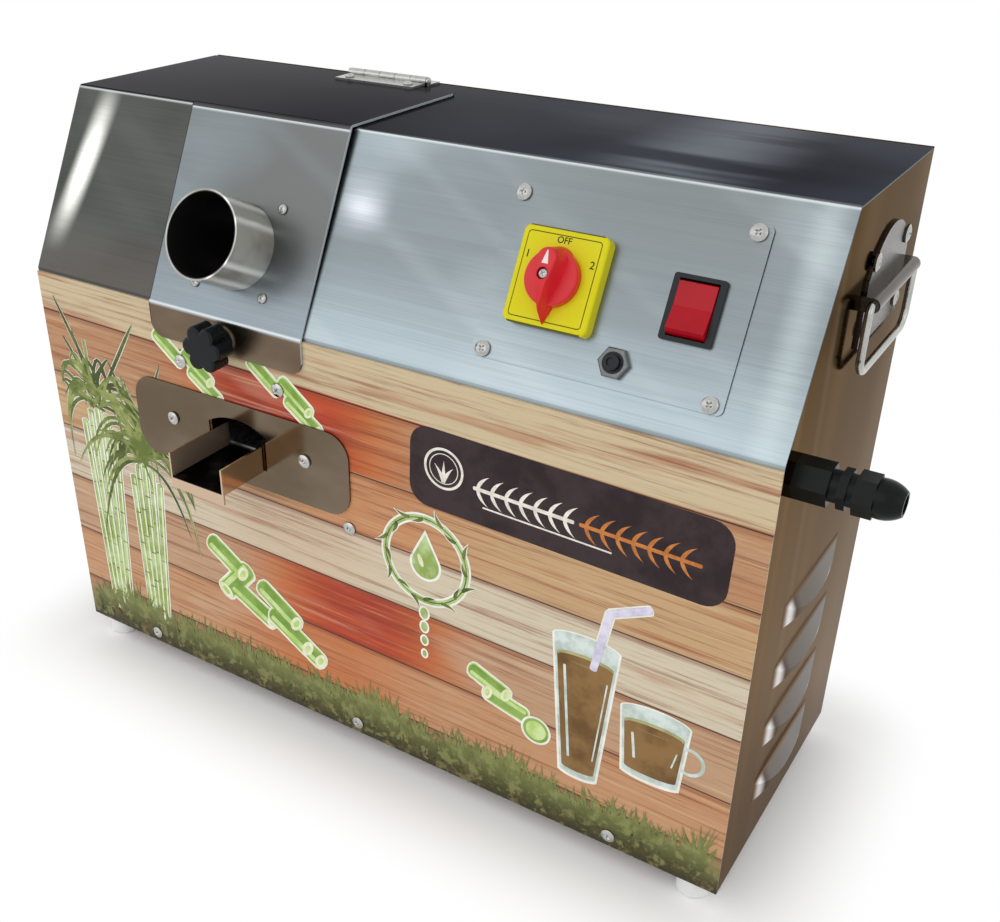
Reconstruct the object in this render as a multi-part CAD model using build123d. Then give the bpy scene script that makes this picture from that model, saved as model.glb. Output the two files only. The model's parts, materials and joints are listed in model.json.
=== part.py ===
from build123d import *
import math
import os

# Table-top sugarcane juicer with a three-roller mill in a folded stainless cabinet.
# Millimetres. X to the right, Y to the back, Z up. The origin is the middle of the underside
# of the cabinet's floor. The sloped face, its controls and the feed tube look to the front.

# Cabinet
cabinet_width = 480.0
cabinet_depth = 180.0
foot_height = 14.0
body_height = 364.0
front_height = 260.0
slope_run = 55.0
sheet = 1.2
bend_radius = 2.0
flange_width = 12.0
flange_relief = 6.0
base_flange_height = 15.0
sheet_gap = 0.3
cut_overrun = 5.0
corner_match = 0.05

# Feet
foot_radius = 9.5
foot_inset_x = 16.5
foot_inset_y = 11.0
foot_edge_radius = 2.0
foot_screw_radius = 2.0
foot_screw_head_radius = 4.0
foot_screw_head_height = 3.0
foot_recess_depth = 6.0
foot_screw_grip = 5.0
screw_clearance = 0.15

# Hatch over the mill
hatch_from_side = 155.5
hatch_width = 113.6
hatch_seam = 1.2
hatch_lip = 20.4
hatch_rear_setback = 22.0
hatch_corner_radius = 9.0
hatch_fold_forward = 3.0
hatch_lap = 8.3

# Hinge of the hatch
hinge_length = 58.0
hinge_setback = 15.0
hinge_rise = 3.3
hinge_knuckle_radius = 2.6
hinge_pin_radius = 1.5
hinge_pin_head_radius = 2.3
hinge_pin_head = 1.0
hinge_leaf_sheet = 1.2
hinge_leaf_depth = 17.0
hinge_rear_leaf_depth = 13.5
hinge_knuckle_count = 5
hinge_knuckle_gap = 0.3
hinge_screw_spacing = 44.0
hinge_front_screw_back = 11.0
hinge_rear_screw_back = 9.0

# Running clearances
running_clearance = 0.05
slip_clearance = 0.3

# Feed tube
tube_radius = 24.8
tube_wall = 1.5
tube_reach = 32.0
tube_depth = 24.0
tube_place_share = 0.2
tube_flange_size = 64.0
tube_flange_sheet = 2.0
tube_flange_corner = 5.0
tube_screw_spacing = 49.8
tube_hole_gap = 0.2

# Pan head screws
panel_screw_radius = 2.0
panel_screw_head_radius = 4.1
panel_screw_head_height = 2.6
panel_screw_length = 7.0
small_screw_radius = 1.5
small_screw_head_radius = 2.9
small_screw_head_height = 2.0
small_screw_length = 4.0
head_rim_share = 0.45

# Clamp knob of the hatch
knob_below_fold = 11.0
knob_radius = 14.0
knob_lobes = 6
knob_lobe_radius = 5.2
knob_head_height = 12.0
knob_hub_radius = 7.5
knob_hub_height = 6.0
knob_edge_radius = 1.6
washer_radius = 8.0
washer_thickness = 1.0
stud_radius = 4.0
stud_reach = 5.0
weld_nut_width = 13.0
weld_nut_height = 3.2

# Juice outlet
chute_plate_width = 165.0
chute_plate_height = 52.0
chute_plate_offset = 3.5
outlet_fold_share = 2 / 3
outlet_drop = 76.04
chute_plate_corner = 15.0
chute_plate_screw_spacing = 102.4
chute_plate_screw_height = 29.2
outlet_width = 43.8
outlet_spring_height = 22.0
outlet_rise = 6.1
chute_width = 40.5
chute_wall_height = 16.5
chute_above_plate = 13.5
chute_reach = 37.5
chute_inside = 16.0
chute_lip = 6.0
chute_sheet = 1.2

# Control plate
control_from_side = 99.0
control_width = 132.0
control_low_share = 0.14025
control_height_share = 0.73525
control_sheet = 1.0
control_corner = 3.0
control_window_side = 14.0
control_window_end = 6.5
control_screw_inset = 6.5
control_screw_low = 4.0

# Rotary selector
selector_offset = -28.0
selector_up_share = 0.51085
selector_width = 45.5
selector_height = 48.0
selector_thickness = 7.5
selector_corner = 4.0
selector_edge_radius = 1.8
selector_groove_inset = 3.0
selector_groove_width = 0.5
selector_groove_depth = 0.4
selector_body_size = 43.0
selector_body_depth = 46.0
selector_deck_count = 3
selector_deck_gap = 1.5
selector_deck_step = 1.0
selector_shaft_radius = 3.0
selector_shaft_depth = 12.0
handle_disc_radius = 13.8
handle_disc_height = 5.0
handle_disc_edge_radius = 1.2
handle_ridge_height = 14.0
handle_nose = 15.5
handle_nose_radius = 8.0
handle_tail = 22.5
handle_side_deg = 8.0
handle_draft_deg = 13.0
handle_keel_start = 3.0
handle_keel_low = 5.0
handle_keel_belly = 1.5
handle_edge_radius = 1.0
handle_screw_radius = 1.5
handle_screw_head_radius = 2.8
handle_screw_sink = 2.2
handle_screw_length = 9.0

# Rocker switch
rocker_offset = 40.2
rocker_up_share = 0.5083
rocker_bezel_width = 25.5
rocker_bezel_height = 31.0
rocker_bezel_thickness = 2.2
rocker_bezel_corner = 1.5
rocker_button_width = 18.6
rocker_button_half_length = 13.0
rocker_button_gap = 0.4
rocker_pivot_depth = 2.0
rocker_crown = 5.2
rocker_end_rise = 1.6
rocker_button_below = 6.0
rocker_body_width = 22.0
rocker_body_height = 28.4
rocker_body_depth = 22.0
rocker_pocket_depth = 14.5
rocker_pin_radius = 1.4
rocker_pin_length = 1.0
rocker_tilt_deg = 7.0

# Overload reset button
breaker_offset = 10.1
breaker_up_share = 0.24225
breaker_nut_width = 14.0
breaker_nut_height = 3.0
breaker_neck_radius = 5.2
breaker_neck_rise = 3.6
breaker_button_radius = 4.0
breaker_button_rise = 2.2
breaker_travel = 2.5
breaker_button_depth = 8.0
breaker_dimple_radius = 2.2
breaker_dimple_depth = 0.8
breaker_body_width = 14.0
breaker_body_height = 22.0
breaker_body_up = 6.4
breaker_body_depth = 28.0
breaker_collar_radius = 6.6

# Cable gland
gland_from_front = 23.0
gland_drop = 12.0
gland_base_width = 18.4
gland_base_length = 16.0
gland_neck_radius = 7.6
gland_neck_length = 4.0
gland_ring_width = 17.0
gland_ring_length = 4.0
gland_thread_radius = 7.8
gland_thread_length = 9.0
gland_bore_radius = 5.0
gland_cap_gap = 3.0
gland_cap_width = 18.4
gland_cap_hex_length = 9.0
gland_cap_dome_length = 12.0
gland_cap_mouth_radius = 4.6
gland_cap_wall = 1.2
gland_shoulder_share = 0.7
gland_spigot_radius = 7.8
gland_spigot_length = 9.0
gland_locknut_width = 20.0
gland_locknut_height = 4.5
gland_seal_wall = 1.6

# Louvres of the side panels
louvre_count = 4
louvre_length = 88.0
louvre_height = 13.0
louvre_bulge = 5.5
louvre_centre_y = -6.0
louvre_first_z = 41.0
louvre_pitch = 39.0

# Lifting handles on the sides
handle_plate_sheet = 1.5
handle_centre_y = 30.0
handle_pivot_drop = 53.0
handle_pivot_out = 5.4
bail_rod_radius = 2.0
bail_span = 80.0
bail_drop = 34.0
bail_pin_length = 16.0
bail_pivot_bend = 3.5
bail_grip_bend = 9.0
handle_bead_radius = 3.7
handle_plate_half = 33.0
handle_plate_below = 24.0
handle_plate_above = 8.0
handle_plate_arch = 22.0
handle_plate_corner = 5.0
handle_bolt_spacing = 52.5
handle_bolt_below = 15.5
handle_bolt_above = 17.5
handle_bolt_radius = 2.5
handle_bolt_head_radius = 4.6
handle_bolt_head_height = 2.2
handle_bolt_length = 6.0
handle_nut_width = 8.0
handle_nut_height = 3.2

# Mill frame
mill_half_width = 47.5
mill_plate = 8.0
mill_front_y = -55.0
mill_rear_y = 70.0
mill_shoulder_drop = 88.0
mill_top_drop = 23.0
mill_top_front_y = -25.0
mill_top_rear_y = 54.0
mill_window_margin = 16.0
mill_window_top_z = 151.0
mill_window_corner = 10.0
tie_bar_radius = 6.0
tie_bar_inset = 13.0
tie_bar_z = 20.0
upper_tie_y = 45.0
upper_tie_drop = 37.0
base_bolt_tab = 14.0

# Rollers
roller_centre_y = 3.8
top_roller_drop = 64.8
top_roller_radius = 35.5
lower_roller_radius = 23.5
nip_gap = 1.0
lower_half_angle_deg = 27.818
roller_end_gap = 1.0
flute_pitch = 4.6
flute_depth = 1.0
top_shaft_radius = 12.0
lower_shaft_radius = 9.0
bush_wall = 4.0
bush_flange_width = 3.0
bush_flange_thickness = 2.0

# Gears
top_teeth = 24
lower_teeth = 16
drive_teeth = 36
pinion_teeth = 16
pressure_deg = 20.0
tooth_backlash = 0.25
tooth_root_gap = 0.75
flank_shares = (0, 0.35, 0.7, 1)
gear_face = 18.0
gear_run_gap = 2.0
gear_hub_wall = 7.0
gear_hub_length = 3.0
drive_web_hole_radius = 9.0
drive_web_hole_count = 6

# Gearbox and motor
gearbox_size = 90.0
gearbox_length = 50.0
gearbox_offset = 18.0
gearbox_corner = 8.0
gearbox_face_gap = 4.0
gearbox_boss_radius = 20.0
gearbox_boss_length = 3.0
output_shaft_radius = 8.0
output_shaft_depth = 14.0
motor_radius = 42.0
motor_end_gap = 37.8
motor_fin_count = 20
motor_fin_depth = 3.0
motor_fin_width = 2.4
motor_foot_width = 60.0
motor_foot_share = 0.51
cowl_length = 36.0
cowl_sheet = 1.5
cowl_lap = 6.0
cowl_slot_count = 8
cowl_slot_width = 4.0
cowl_slot_inner = 12.0
cowl_slot_outer = 34.0
cowl_front_radius = 6.0
stand_sheet = 2.5
stand_half_width = 47.0
stand_foot = 16.0
stand_bend = 4.0

# Motor capacitor
capacitor_radius = 17.5
capacitor_height = 72.0
capacitor_from_side = 40.0
capacitor_from_front = 45.0
capacitor_edge = 3.0

# Juice tray, trash plate and bagasse chute
tray_sheet = 1.0
tray_rear_y = 62.0
tray_front_inset = 10.0
tray_neck_inset = 24.0
tray_shoulder_inset = 40.0
tray_rear_gap = 8.6
tray_front_rise = 3.1
tray_wall_height = 13.0
tray_neck_width = 36.0
trash_reach_gap = 1.2
trash_thickness = 3.5
trash_half_angle_deg = 9.0
trash_stem_width = 5.0
trash_stem_drop = 73.2
bagasse_floor_y = 46.0
bagasse_outlet_drop = 78.0
bagasse_low_drop = 84.0
bagasse_high_drop = 32.0
bagasse_sheet = 1.2
bagasse_reach = 22.0
bagasse_wall_height = 14.0
bagasse_outlet_margin = 4.0

# Screws of the front and rear panels
front_screw_share = 0.565
front_screw_left = 40.4
front_screw_right = 33.9
front_screw_middle_drop = 6.3
low_screw_inset = 65.0
low_screw_height = 8.0
rear_screw_inset = 26.0
rear_screw_height = 8.0

# Places that follow from the sizes above
half_width = cabinet_width / 2
front_y = -cabinet_depth / 2
rear_y = cabinet_depth / 2
bottom_z = 0.0
fold_z = bottom_z + front_height
top_z = bottom_z + body_height
fold_y = front_y + slope_run
inner_x = half_width - sheet
inner_y = rear_y - sheet
outline = [(front_y, bottom_z), (front_y, fold_z), (fold_y, top_z), (rear_y, top_z), (rear_y, bottom_z)]
slope_length = math.hypot(slope_run, body_height - front_height)
hatch_centre_x = hatch_from_side - half_width
chute_plate_centre_x = hatch_centre_x + chute_plate_offset
control_centre_x = half_width - control_from_side
control_low = slope_length * control_low_share
control_height = slope_length * control_height_share
selector_x = control_centre_x + selector_offset
selector_up = slope_length * selector_up_share
rocker_x = control_centre_x + rocker_offset
rocker_up = slope_length * rocker_up_share
breaker_x = control_centre_x + breaker_offset
breaker_up = slope_length * breaker_up_share
gland_y = front_y + gland_from_front
gland_z = fold_z - gland_drop
handle_pivot_z = top_z - handle_pivot_drop
mill_left_x = hatch_centre_x - mill_half_width
mill_right_x = hatch_centre_x + mill_half_width
mill_shoulder_z = top_z - mill_shoulder_drop
mill_top_z = top_z - mill_top_drop
upper_tie_z = top_z - upper_tie_drop
top_roller_z = top_z - top_roller_drop
capacitor_x = half_width - capacitor_from_side
capacitor_y = front_y + capacitor_from_front
tray_front_y = front_y + tray_front_inset
tray_neck_y = front_y + tray_neck_inset
tray_shoulder_y = front_y + tray_shoulder_inset
trash_stem_z = top_roller_z - trash_stem_drop
bagasse_outlet_z = top_z - bagasse_outlet_drop
bagasse_outlet_low = top_z - bagasse_low_drop
bagasse_outlet_high = top_z - bagasse_high_drop

left = -1
right = 1


def parallel(points, distance):
    """Return the corners of the line beside an open outline, on its right-hand side."""
    lines = []
    for (y1, z1), (y2, z2) in zip(points, points[1:]):
        length = math.hypot(y2 - y1, z2 - z1)
        across = ((z2 - z1) / length * distance, (y1 - y2) / length * distance)
        lines.append(((y1 + across[0], z1 + across[1]), (y2 + across[0], z2 + across[1])))
    corners = [lines[0][0]]
    for ((ay, az), (by, bz)), ((cy, cz), (dy, dz)) in zip(lines, lines[1:]):
        turn = (by - ay) * (dz - cz) - (bz - az) * (dy - cy)
        along = ((cy - ay) * (dz - cz) - (cz - az) * (dy - cy)) / turn
        corners.append((ay + (by - ay) * along, az + (bz - az) * along))
    corners.append(lines[-1][1])
    return corners


def side_face(points):
    """Return a face in the side view from corners given as (y, z)."""
    return Plane.YZ * make_face(Polyline(*points, close=True))


def prism(points, start_x, end_x):
    """Return a side-view outline drawn out along X."""
    return Pos(start_x, 0, 0) * extrude(side_face(points), amount=end_x - start_x, dir=(1, 0, 0))


def band(points, near, far, start_x, end_x):
    """Return the stretch between two lines beside an open outline, drawn out along X."""
    return prism(parallel(points, near) + parallel(points, far)[::-1], start_x, end_x)


def soften(solid, corners, radius):
    """Round the edges along X that pass through the given side-view corners."""
    chosen = []
    for edge in solid.edges().filter_by(Axis.X):
        middle = edge @ 0.5
        for y, z in corners:
            if math.hypot(middle.Y - y, middle.Z - z) < corner_match:
                chosen.append(edge)
                break
    return fillet(chosen, radius) if chosen else solid


def folded(points, start_x, end_x):
    """Return a folded sheet that follows an outline on its inner side, with round bends."""
    strip = band(points, 0, sheet, start_x, end_x)
    strip = soften(strip, points[1:-1], bend_radius)
    return soften(strip, parallel(points, sheet)[1:-1], bend_radius - sheet)


def box(x1, x2, y1, y2, z1, z2):
    """Return a box between two corners."""
    return Pos((x1 + x2) / 2, (y1 + y2) / 2, (z1 + z2) / 2) * Box(x2 - x1, y2 - y1, z2 - z1)


def rod_x(radius, start_x, end_x, y, z):
    """Return a round bar along X."""
    return Pos(start_x, y, z) * Rot(0, 90, 0) * extrude(Circle(radius), amount=end_x - start_x)


def hexagon(width, height):
    """Return a hexagon bar, by its width across the flats, standing on the plane."""
    return extrude(RegularPolygon(width / 2, 6, major_radius=False), amount=height)


def pan_screw(radius, head_radius, head_height, length):
    """Return a pan head screw whose head stands on the plane, with its shank below."""
    rim = head_height * head_rim_share
    side = Line((0, 0), (head_radius, 0)) + Line((head_radius, 0), (head_radius, rim))
    rise = head_height - rim
    ball = (head_radius ** 2 + rise ** 2) / rise / 2
    half_angle = math.asin(head_radius / ball) / 2
    middle = (ball * math.sin(half_angle), head_height - ball + ball * math.cos(half_angle))
    crown = ThreePointArc((head_radius, rim), middle, (0, head_height))
    head = revolve(Plane.XZ * make_face(side + crown + Line((0, head_height), (0, 0))), Axis.Z)
    return head + Pos(0, 0, -length) * extrude(Circle(radius), amount=length)


def panel_screw():
    return pan_screw(panel_screw_radius, panel_screw_head_radius, panel_screw_head_height, panel_screw_length)


def small_screw():
    return pan_screw(small_screw_radius, small_screw_head_radius, small_screw_head_height, small_screw_length)


def hole(radius, depth):
    """Return the cutter of a round hole from above the plane to a depth below it."""
    return Pos(0, 0, -depth) * extrude(Circle(radius), amount=depth + cut_overrun)


slope = Plane(origin=(0, front_y, fold_z), x_dir=(1, 0, 0), z_dir=(0, fold_z - top_z, slope_run))
front = Plane(origin=(0, front_y, 0), x_dir=(1, 0, 0), z_dir=(0, -1, 0))
rear = Plane(origin=(0, rear_y, 0), x_dir=(-1, 0, 0), z_dir=(0, 1, 0))
right_side = Plane(origin=(half_width, 0, 0), x_dir=(0, 1, 0), z_dir=(1, 0, 0))
panel_hole_radius = panel_screw_radius + screw_clearance
small_hole_radius = small_screw_radius + screw_clearance

# The hatch lies on the cabinet, with its top fold a little forward of the cabinet's own
hatch_left = hatch_centre_x - hatch_width / 2
hatch_right = hatch_centre_x + hatch_width / 2
hatch_rear = rear_y - hatch_rear_setback
hatch_outline = parallel(outline, -(sheet_gap + sheet))
hatch_low_fold = hatch_outline[1]
hatch_top_fold = (hatch_outline[2][0] - hatch_fold_forward, hatch_outline[2][1])
hatch_top = hatch_top_fold[1]
hatch_front = hatch_low_fold[0]
hatch_lip_low = hatch_low_fold[1] - hatch_lip
hatch_rise = hatch_top_fold[1] - hatch_low_fold[1]
hatch_run = hatch_top_fold[0] - hatch_low_fold[0]
hatch_slope_length = math.hypot(hatch_rise, hatch_run)
tube_up_slope = tube_flange_size / 2 + (hatch_slope_length - tube_flange_size) * tube_place_share
hatch_slope = Plane(
    origin=(0, hatch_low_fold[0], hatch_low_fold[1]), x_dir=(1, 0, 0), z_dir=(0, -hatch_rise, hatch_run)
)
left_cover_end = hatch_left - hatch_seam
mouth_right = hatch_right - hatch_lap
mouth_rear = hatch_rear - hatch_lap
tube_place = hatch_slope * Pos(hatch_centre_x, tube_up_slope, 0)
tube_screw_places = [
    (sx * tube_screw_spacing / 2, sy * tube_screw_spacing / 2)
    for sx in (left, right) for sy in (left, right)
]
knob_z = hatch_low_fold[1] - knob_below_fold
lip_plane = Plane(origin=(hatch_centre_x, hatch_front, knob_z), x_dir=(1, 0, 0), z_dir=(0, -1, 0))
hinge_y = rear_y - hinge_setback
hinge_z = top_z + hinge_rise
foot_places = [
    (sx * (half_width - foot_inset_x), sy * (rear_y - foot_inset_y))
    for sx in (left, right) for sy in (left, right)
]

# Mill: the two lower rollers stand on either side of the top roller's axis
roller_distance = top_roller_radius + lower_roller_radius + nip_gap
lower_out = roller_distance * math.sin(math.radians(lower_half_angle_deg))
lower_down = roller_distance * math.cos(math.radians(lower_half_angle_deg))
lower_roller_z = top_roller_z - lower_down
front_roller_y = roller_centre_y - lower_out
rear_roller_y = roller_centre_y + lower_out

# The juice outlet hangs below a level between the fold and the underside of the rollers
rollers_low = lower_roller_z - lower_roller_radius
outlet_level = rollers_low + (fold_z - rollers_low) * outlet_fold_share
chute_low = outlet_level - outlet_drop
chute_plate_low = chute_low - chute_above_plate
chute_plate_high = chute_plate_low + chute_plate_height
tray_front_z = chute_low + tray_front_rise
tray_rear_z = rollers_low - tray_rear_gap
bagasse_floor_z = lower_roller_z + lower_roller_radius

# Screws of the front panel: two between the outlet's plate and the hatch, one beside the plate
low_screw_x = half_width - low_screw_inset
front_screw_z = chute_plate_high + (hatch_lip_low - chute_plate_high) * front_screw_share
front_screws = [
    (chute_plate_centre_x - front_screw_left, front_screw_z),
    (chute_plate_centre_x + front_screw_right, front_screw_z),
    (0, chute_plate_low - front_screw_middle_drop),
    (-low_screw_x, low_screw_height),
    (0, low_screw_height),
    (low_screw_x, low_screw_height),
]


def side_panel(side):
    """Side wall with its turned-in flanges and its pressed louvres."""
    corners = parallel(outline, sheet)
    wall = soften(prism(corners, inner_x, half_width), corners[1:-1], bend_radius)
    for (y1, z1), (y2, z2) in zip(corners, corners[1:]):
        length = math.hypot(y2 - y1, z2 - z1)
        uy, uz = (y2 - y1) / length * flange_relief, (z2 - z1) / length * flange_relief
        under_lip = flange_width if y1 == y2 else 0
        low, high = (under_lip, 0) if z2 < z1 else (0, under_lip)
        strip = [(y1 + uy, z1 + uz - low), (y2 - uy, z2 - uz - high)]
        wall += band(strip, 0, sheet, half_width - flange_width, inner_x)
    for number in range(louvre_count):
        wall = add_louvre(wall, louvre_first_z + number * louvre_pitch)
    wall -= [right_side * Pos(y, z) * hole(handle_bolt_radius + screw_clearance, cut_overrun)
             for y, z in handle_bolt_places()]
    if side == right:
        wall -= right_side * Pos(gland_y, gland_z) * hole(gland_spigot_radius + slip_clearance, cut_overrun)
        return wall
    return mirror(wall, about=Plane.YZ)


def add_louvre(wall, centre_z):
    """Press one louvre out of the wall: a curved scoop that is open along its lower edge."""
    half = louvre_length / 2
    low = centre_z - louvre_height / 2
    high = centre_z + louvre_height / 2
    plan = make_face(
        ThreePointArc((half_width, louvre_centre_y - half), (half_width + louvre_bulge, louvre_centre_y),
                      (half_width, louvre_centre_y + half))
        + Line((half_width, louvre_centre_y + half), (half_width, louvre_centre_y - half))
    )
    block = Pos(0, 0, low) * extrude(plan, amount=louvre_height, dir=(0, 0, 1))
    wedge = Plane.XZ * make_face(Polyline(
        (half_width, high), (half_width, low), (half_width + louvre_bulge, low), close=True
    ))
    wedge = Pos(0, louvre_centre_y - half, 0) * extrude(wedge, amount=louvre_length, dir=(0, 1, 0))
    scoop = block & wedge
    return wall + scoop - Pos(-sheet, 0, 0) * scoop


def handle_bolt_places():
    places = []
    for side in (left, right):
        y = handle_centre_y + side * handle_bolt_spacing / 2
        places.append((y, handle_pivot_z - handle_bolt_below))
        places.append((y, handle_pivot_z + handle_bolt_above))
    return places


def base_plate():
    """Floor pan with upturned edges for the side, front and rear panels."""
    floor = box(-inner_x, inner_x, -inner_y, inner_y, bottom_z, bottom_z + sheet)
    high = bottom_z + base_flange_height
    long_half = half_width - flange_width - flange_relief
    short_half = rear_y - flange_width - flange_relief
    for side in (left, right):
        y = sorted((side * inner_y, side * (inner_y - sheet)))
        x = sorted((side * inner_x, side * (inner_x - sheet)))
        floor += box(-long_half, long_half, y[0], y[1], bottom_z, high)
        floor += box(x[0], x[1], -short_half, short_half, bottom_z, high)
    for x, y in foot_places:
        floor -= Pos(x, y, bottom_z + sheet) * hole(foot_screw_radius + screw_clearance, cut_overrun)
    for x, z in front_screws:
        if z < high:
            floor -= front * Pos(x, z) * hole(panel_hole_radius, cut_overrun)
            floor -= rear * Pos(-x, z) * hole(panel_hole_radius, cut_overrun)
    return floor


def outlet_cutter():
    """Arched opening that the juice spout comes through."""
    half = outlet_width / 2
    spring = chute_low + outlet_spring_height
    arch = make_face(
        Polyline((-half, spring), (-half, chute_low), (half, chute_low), (half, spring))
        + ThreePointArc((half, spring), (0, spring + outlet_rise), (-half, spring))
    )
    arch = Pos(chute_plate_centre_x, 0) * arch
    return front * Pos(0, 0, -cut_overrun) * extrude(arch, amount=cut_overrun + cut_overrun)


def front_panel():
    """Front wall with the arched outlet, its screw holes and the nut of the clamp knob."""
    wall = box(-half_width, half_width, front_y, -inner_y, bottom_z, fold_z) - outlet_cutter()
    wall += Plane(origin=(hatch_centre_x, -inner_y, knob_z), z_dir=(0, 1, 0)) * hexagon(
        weld_nut_width, weld_nut_height)
    wall -= lip_plane * hole(stud_radius + running_clearance, weld_nut_height + cut_overrun)
    for x, z in front_screws + chute_plate_screw_places():
        wall -= front * Pos(x, z) * hole(panel_hole_radius, cut_overrun)
    return wall


def rear_panel():
    """Rear wall with the opening that the pressed cane leaves through."""
    wall = box(-half_width, half_width, inner_y, rear_y, bottom_z, top_z)
    wall -= box(mill_left_x, mill_right_x, inner_y - cut_overrun, rear_y + cut_overrun,
                bagasse_outlet_low, bagasse_outlet_high)
    for x, z in rear_screw_places():
        wall -= rear * Pos(-x, z) * hole(panel_hole_radius, cut_overrun)
    return wall


def rear_screw_places():
    places = [(x, z) for x, z in front_screws if z < bottom_z + base_flange_height]
    x = half_width - rear_screw_inset
    z = top_z - rear_screw_height
    return places + [(-x, z), (0.0, z), (x, z)]


def cover_outline():
    """Side-view line of the top sheet, from its front lip over the slope to its rear lip."""
    share = sheet / slope_run
    foot = (front_y + sheet, fold_z + (top_z - fold_z) * share)
    return [
        (foot[0], foot[1] - flange_width),
        foot,
        (fold_y, top_z),
        (inner_y, top_z),
        (inner_y, top_z - flange_width),
    ]


def main_cover():
    """Top and sloped face in one sheet, with the mouth of the mill and the control window."""
    points = cover_outline()
    cover = folded(points, left_cover_end, half_width)
    cover -= box(left_cover_end - cut_overrun, mouth_right, front_y - cut_overrun, mouth_rear,
                 fold_z - flange_width - cut_overrun, top_z + cut_overrun)
    cover += band(points[1:3] + [(mouth_rear, top_z)], sheet, flange_width, mouth_right, mouth_right + sheet)
    cover -= prism(parallel(outline, sheet), inner_x - sheet_gap, half_width + cut_overrun)
    window = Box(control_width - 2 * control_window_side, control_height - 2 * control_window_end,
                 cut_overrun + cut_overrun)
    cover -= slope * Pos(control_centre_x, control_low + control_height / 2, 0) * window
    for x, s in control_screw_places():
        cover -= slope * Pos(x, s, 0) * hole(panel_hole_radius, cut_overrun)
    for x, z in rear_screw_places():
        cover -= rear * Pos(-x, z) * hole(panel_hole_radius, cut_overrun)
    for x in hinge_screw_xs():
        cover -= Pos(x, hinge_y + hinge_rear_screw_back, top_z) * hole(small_hole_radius, cut_overrun)
    return cover


def left_cover():
    """Cover over the roller gears, with a stiffening edge beside the hatch."""
    points = cover_outline()
    cover = folded(points, -half_width, left_cover_end)
    edge_line = points[1:3] + [(mouth_rear, top_z)]
    cover += band(edge_line, sheet, flange_width, left_cover_end - sheet, left_cover_end)
    cover -= prism(parallel(outline, sheet), -half_width - cut_overrun, sheet_gap - inner_x)
    for x, z in rear_screw_places():
        cover -= rear * Pos(-x, z) * hole(panel_hole_radius, cut_overrun)
    return cover


def hatch_cover():
    """Folded lid over the mill, from its front lip over the slope to the hinge."""
    points = [(hatch_front, hatch_lip_low), hatch_low_fold, hatch_top_fold, (hatch_rear, hatch_top)]
    lid = folded(points, hatch_left, hatch_right)
    lip_ends = [e for e in lid.edges().filter_by(Axis.Y) if (e @ 0.5).Z < hatch_lip_low + sheet]
    lid = fillet(lip_ends, hatch_corner_radius)
    rear_ends = [e for e in lid.edges().filter_by(Axis.Z) if (e @ 0.5).Y > hatch_rear - sheet]
    lid = fillet(rear_ends, hatch_corner_radius)
    lid -= tube_place * hole(tube_radius + tube_hole_gap, cut_overrun)
    for x, s in tube_screw_places:
        lid -= tube_place * Pos(x, s, 0) * hole(small_hole_radius, cut_overrun)
    lid -= lip_plane * hole(stud_radius + slip_clearance, sheet + sheet_gap / 2)
    for x in hinge_screw_xs():
        place = Pos(x, hinge_y - hinge_front_screw_back, hatch_top)
        lid -= place * hole(small_hole_radius, sheet + sheet_gap)
    return lid


def feed_tube():
    """Tube that guides the cane to the rollers, with its square flange under the lid."""
    flange = extrude(RectangleRounded(tube_flange_size, tube_flange_size, tube_flange_corner),
                     amount=-tube_flange_sheet)
    flange = Pos(0, 0, -sheet) * flange
    barrel = Pos(0, 0, -tube_depth) * extrude(Circle(tube_radius), amount=tube_depth + tube_reach)
    bore = Pos(0, 0, -tube_depth - cut_overrun) * extrude(
        Circle(tube_radius - tube_wall), amount=tube_depth + tube_reach + 2 * cut_overrun)
    tube = flange + barrel - bore
    for x, s in tube_screw_places:
        tube -= Pos(x, s, 0) * hole(small_hole_radius, cut_overrun)
    return tube_place * tube


def feed_tube_screws():
    return [tube_place * Pos(x, s, 0) * small_screw() for x, s in tube_screw_places]


def hinge_screw_xs():
    return [hatch_centre_x + side * hinge_screw_spacing / 2 for side in (left, right)]


def hinge_leaf(leaf_low, near_y, far_y, own_knuckles):
    """One hinge leaf: a flat plate with its share of the rolled knuckles."""
    start = hatch_centre_x - hinge_length / 2
    pitch = hinge_length / hinge_knuckle_count
    leaf = box(start, start + hinge_length, near_y, far_y, leaf_low, leaf_low + hinge_leaf_sheet)
    knuckle_span = hinge_knuckle_radius + hinge_knuckle_gap
    leaf -= box(start - cut_overrun, start + hinge_length + cut_overrun, hinge_y - knuckle_span,
                hinge_y + knuckle_span, top_z - cut_overrun, hinge_z + cut_overrun)
    toward = near_y if abs(near_y - hinge_y) > abs(far_y - hinge_y) else far_y
    side = right if toward > hinge_y else left
    for number in own_knuckles:
        x1 = start + number * pitch + hinge_knuckle_gap / 2
        x2 = x1 + pitch - hinge_knuckle_gap
        edge = hinge_y + side * (knuckle_span + hinge_leaf_sheet)
        web = box(x1, x2, min(hinge_y, edge), max(hinge_y, edge), leaf_low, leaf_low + hinge_leaf_sheet)
        leaf += web + rod_x(hinge_knuckle_radius, x1, x2, hinge_y, hinge_z)
    return leaf - rod_x(hinge_pin_radius + running_clearance, start - cut_overrun,
                        start + hinge_length + cut_overrun, hinge_y, hinge_z)


def hinge_rear_leaf():
    leaf = hinge_leaf(top_z, hinge_y, hinge_y + hinge_rear_leaf_depth, (0, 2, 4))
    for x in hinge_screw_xs():
        leaf -= Pos(x, hinge_y + hinge_rear_screw_back, hinge_z) * hole(small_hole_radius, cut_overrun)
    return leaf


def hinge_front_leaf():
    leaf = hinge_leaf(hatch_top, hinge_y - hinge_leaf_depth, hinge_y, (1, 3))
    for x in hinge_screw_xs():
        leaf -= Pos(x, hinge_y - hinge_front_screw_back, hinge_z) * hole(small_hole_radius, cut_overrun)
    return leaf


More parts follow.
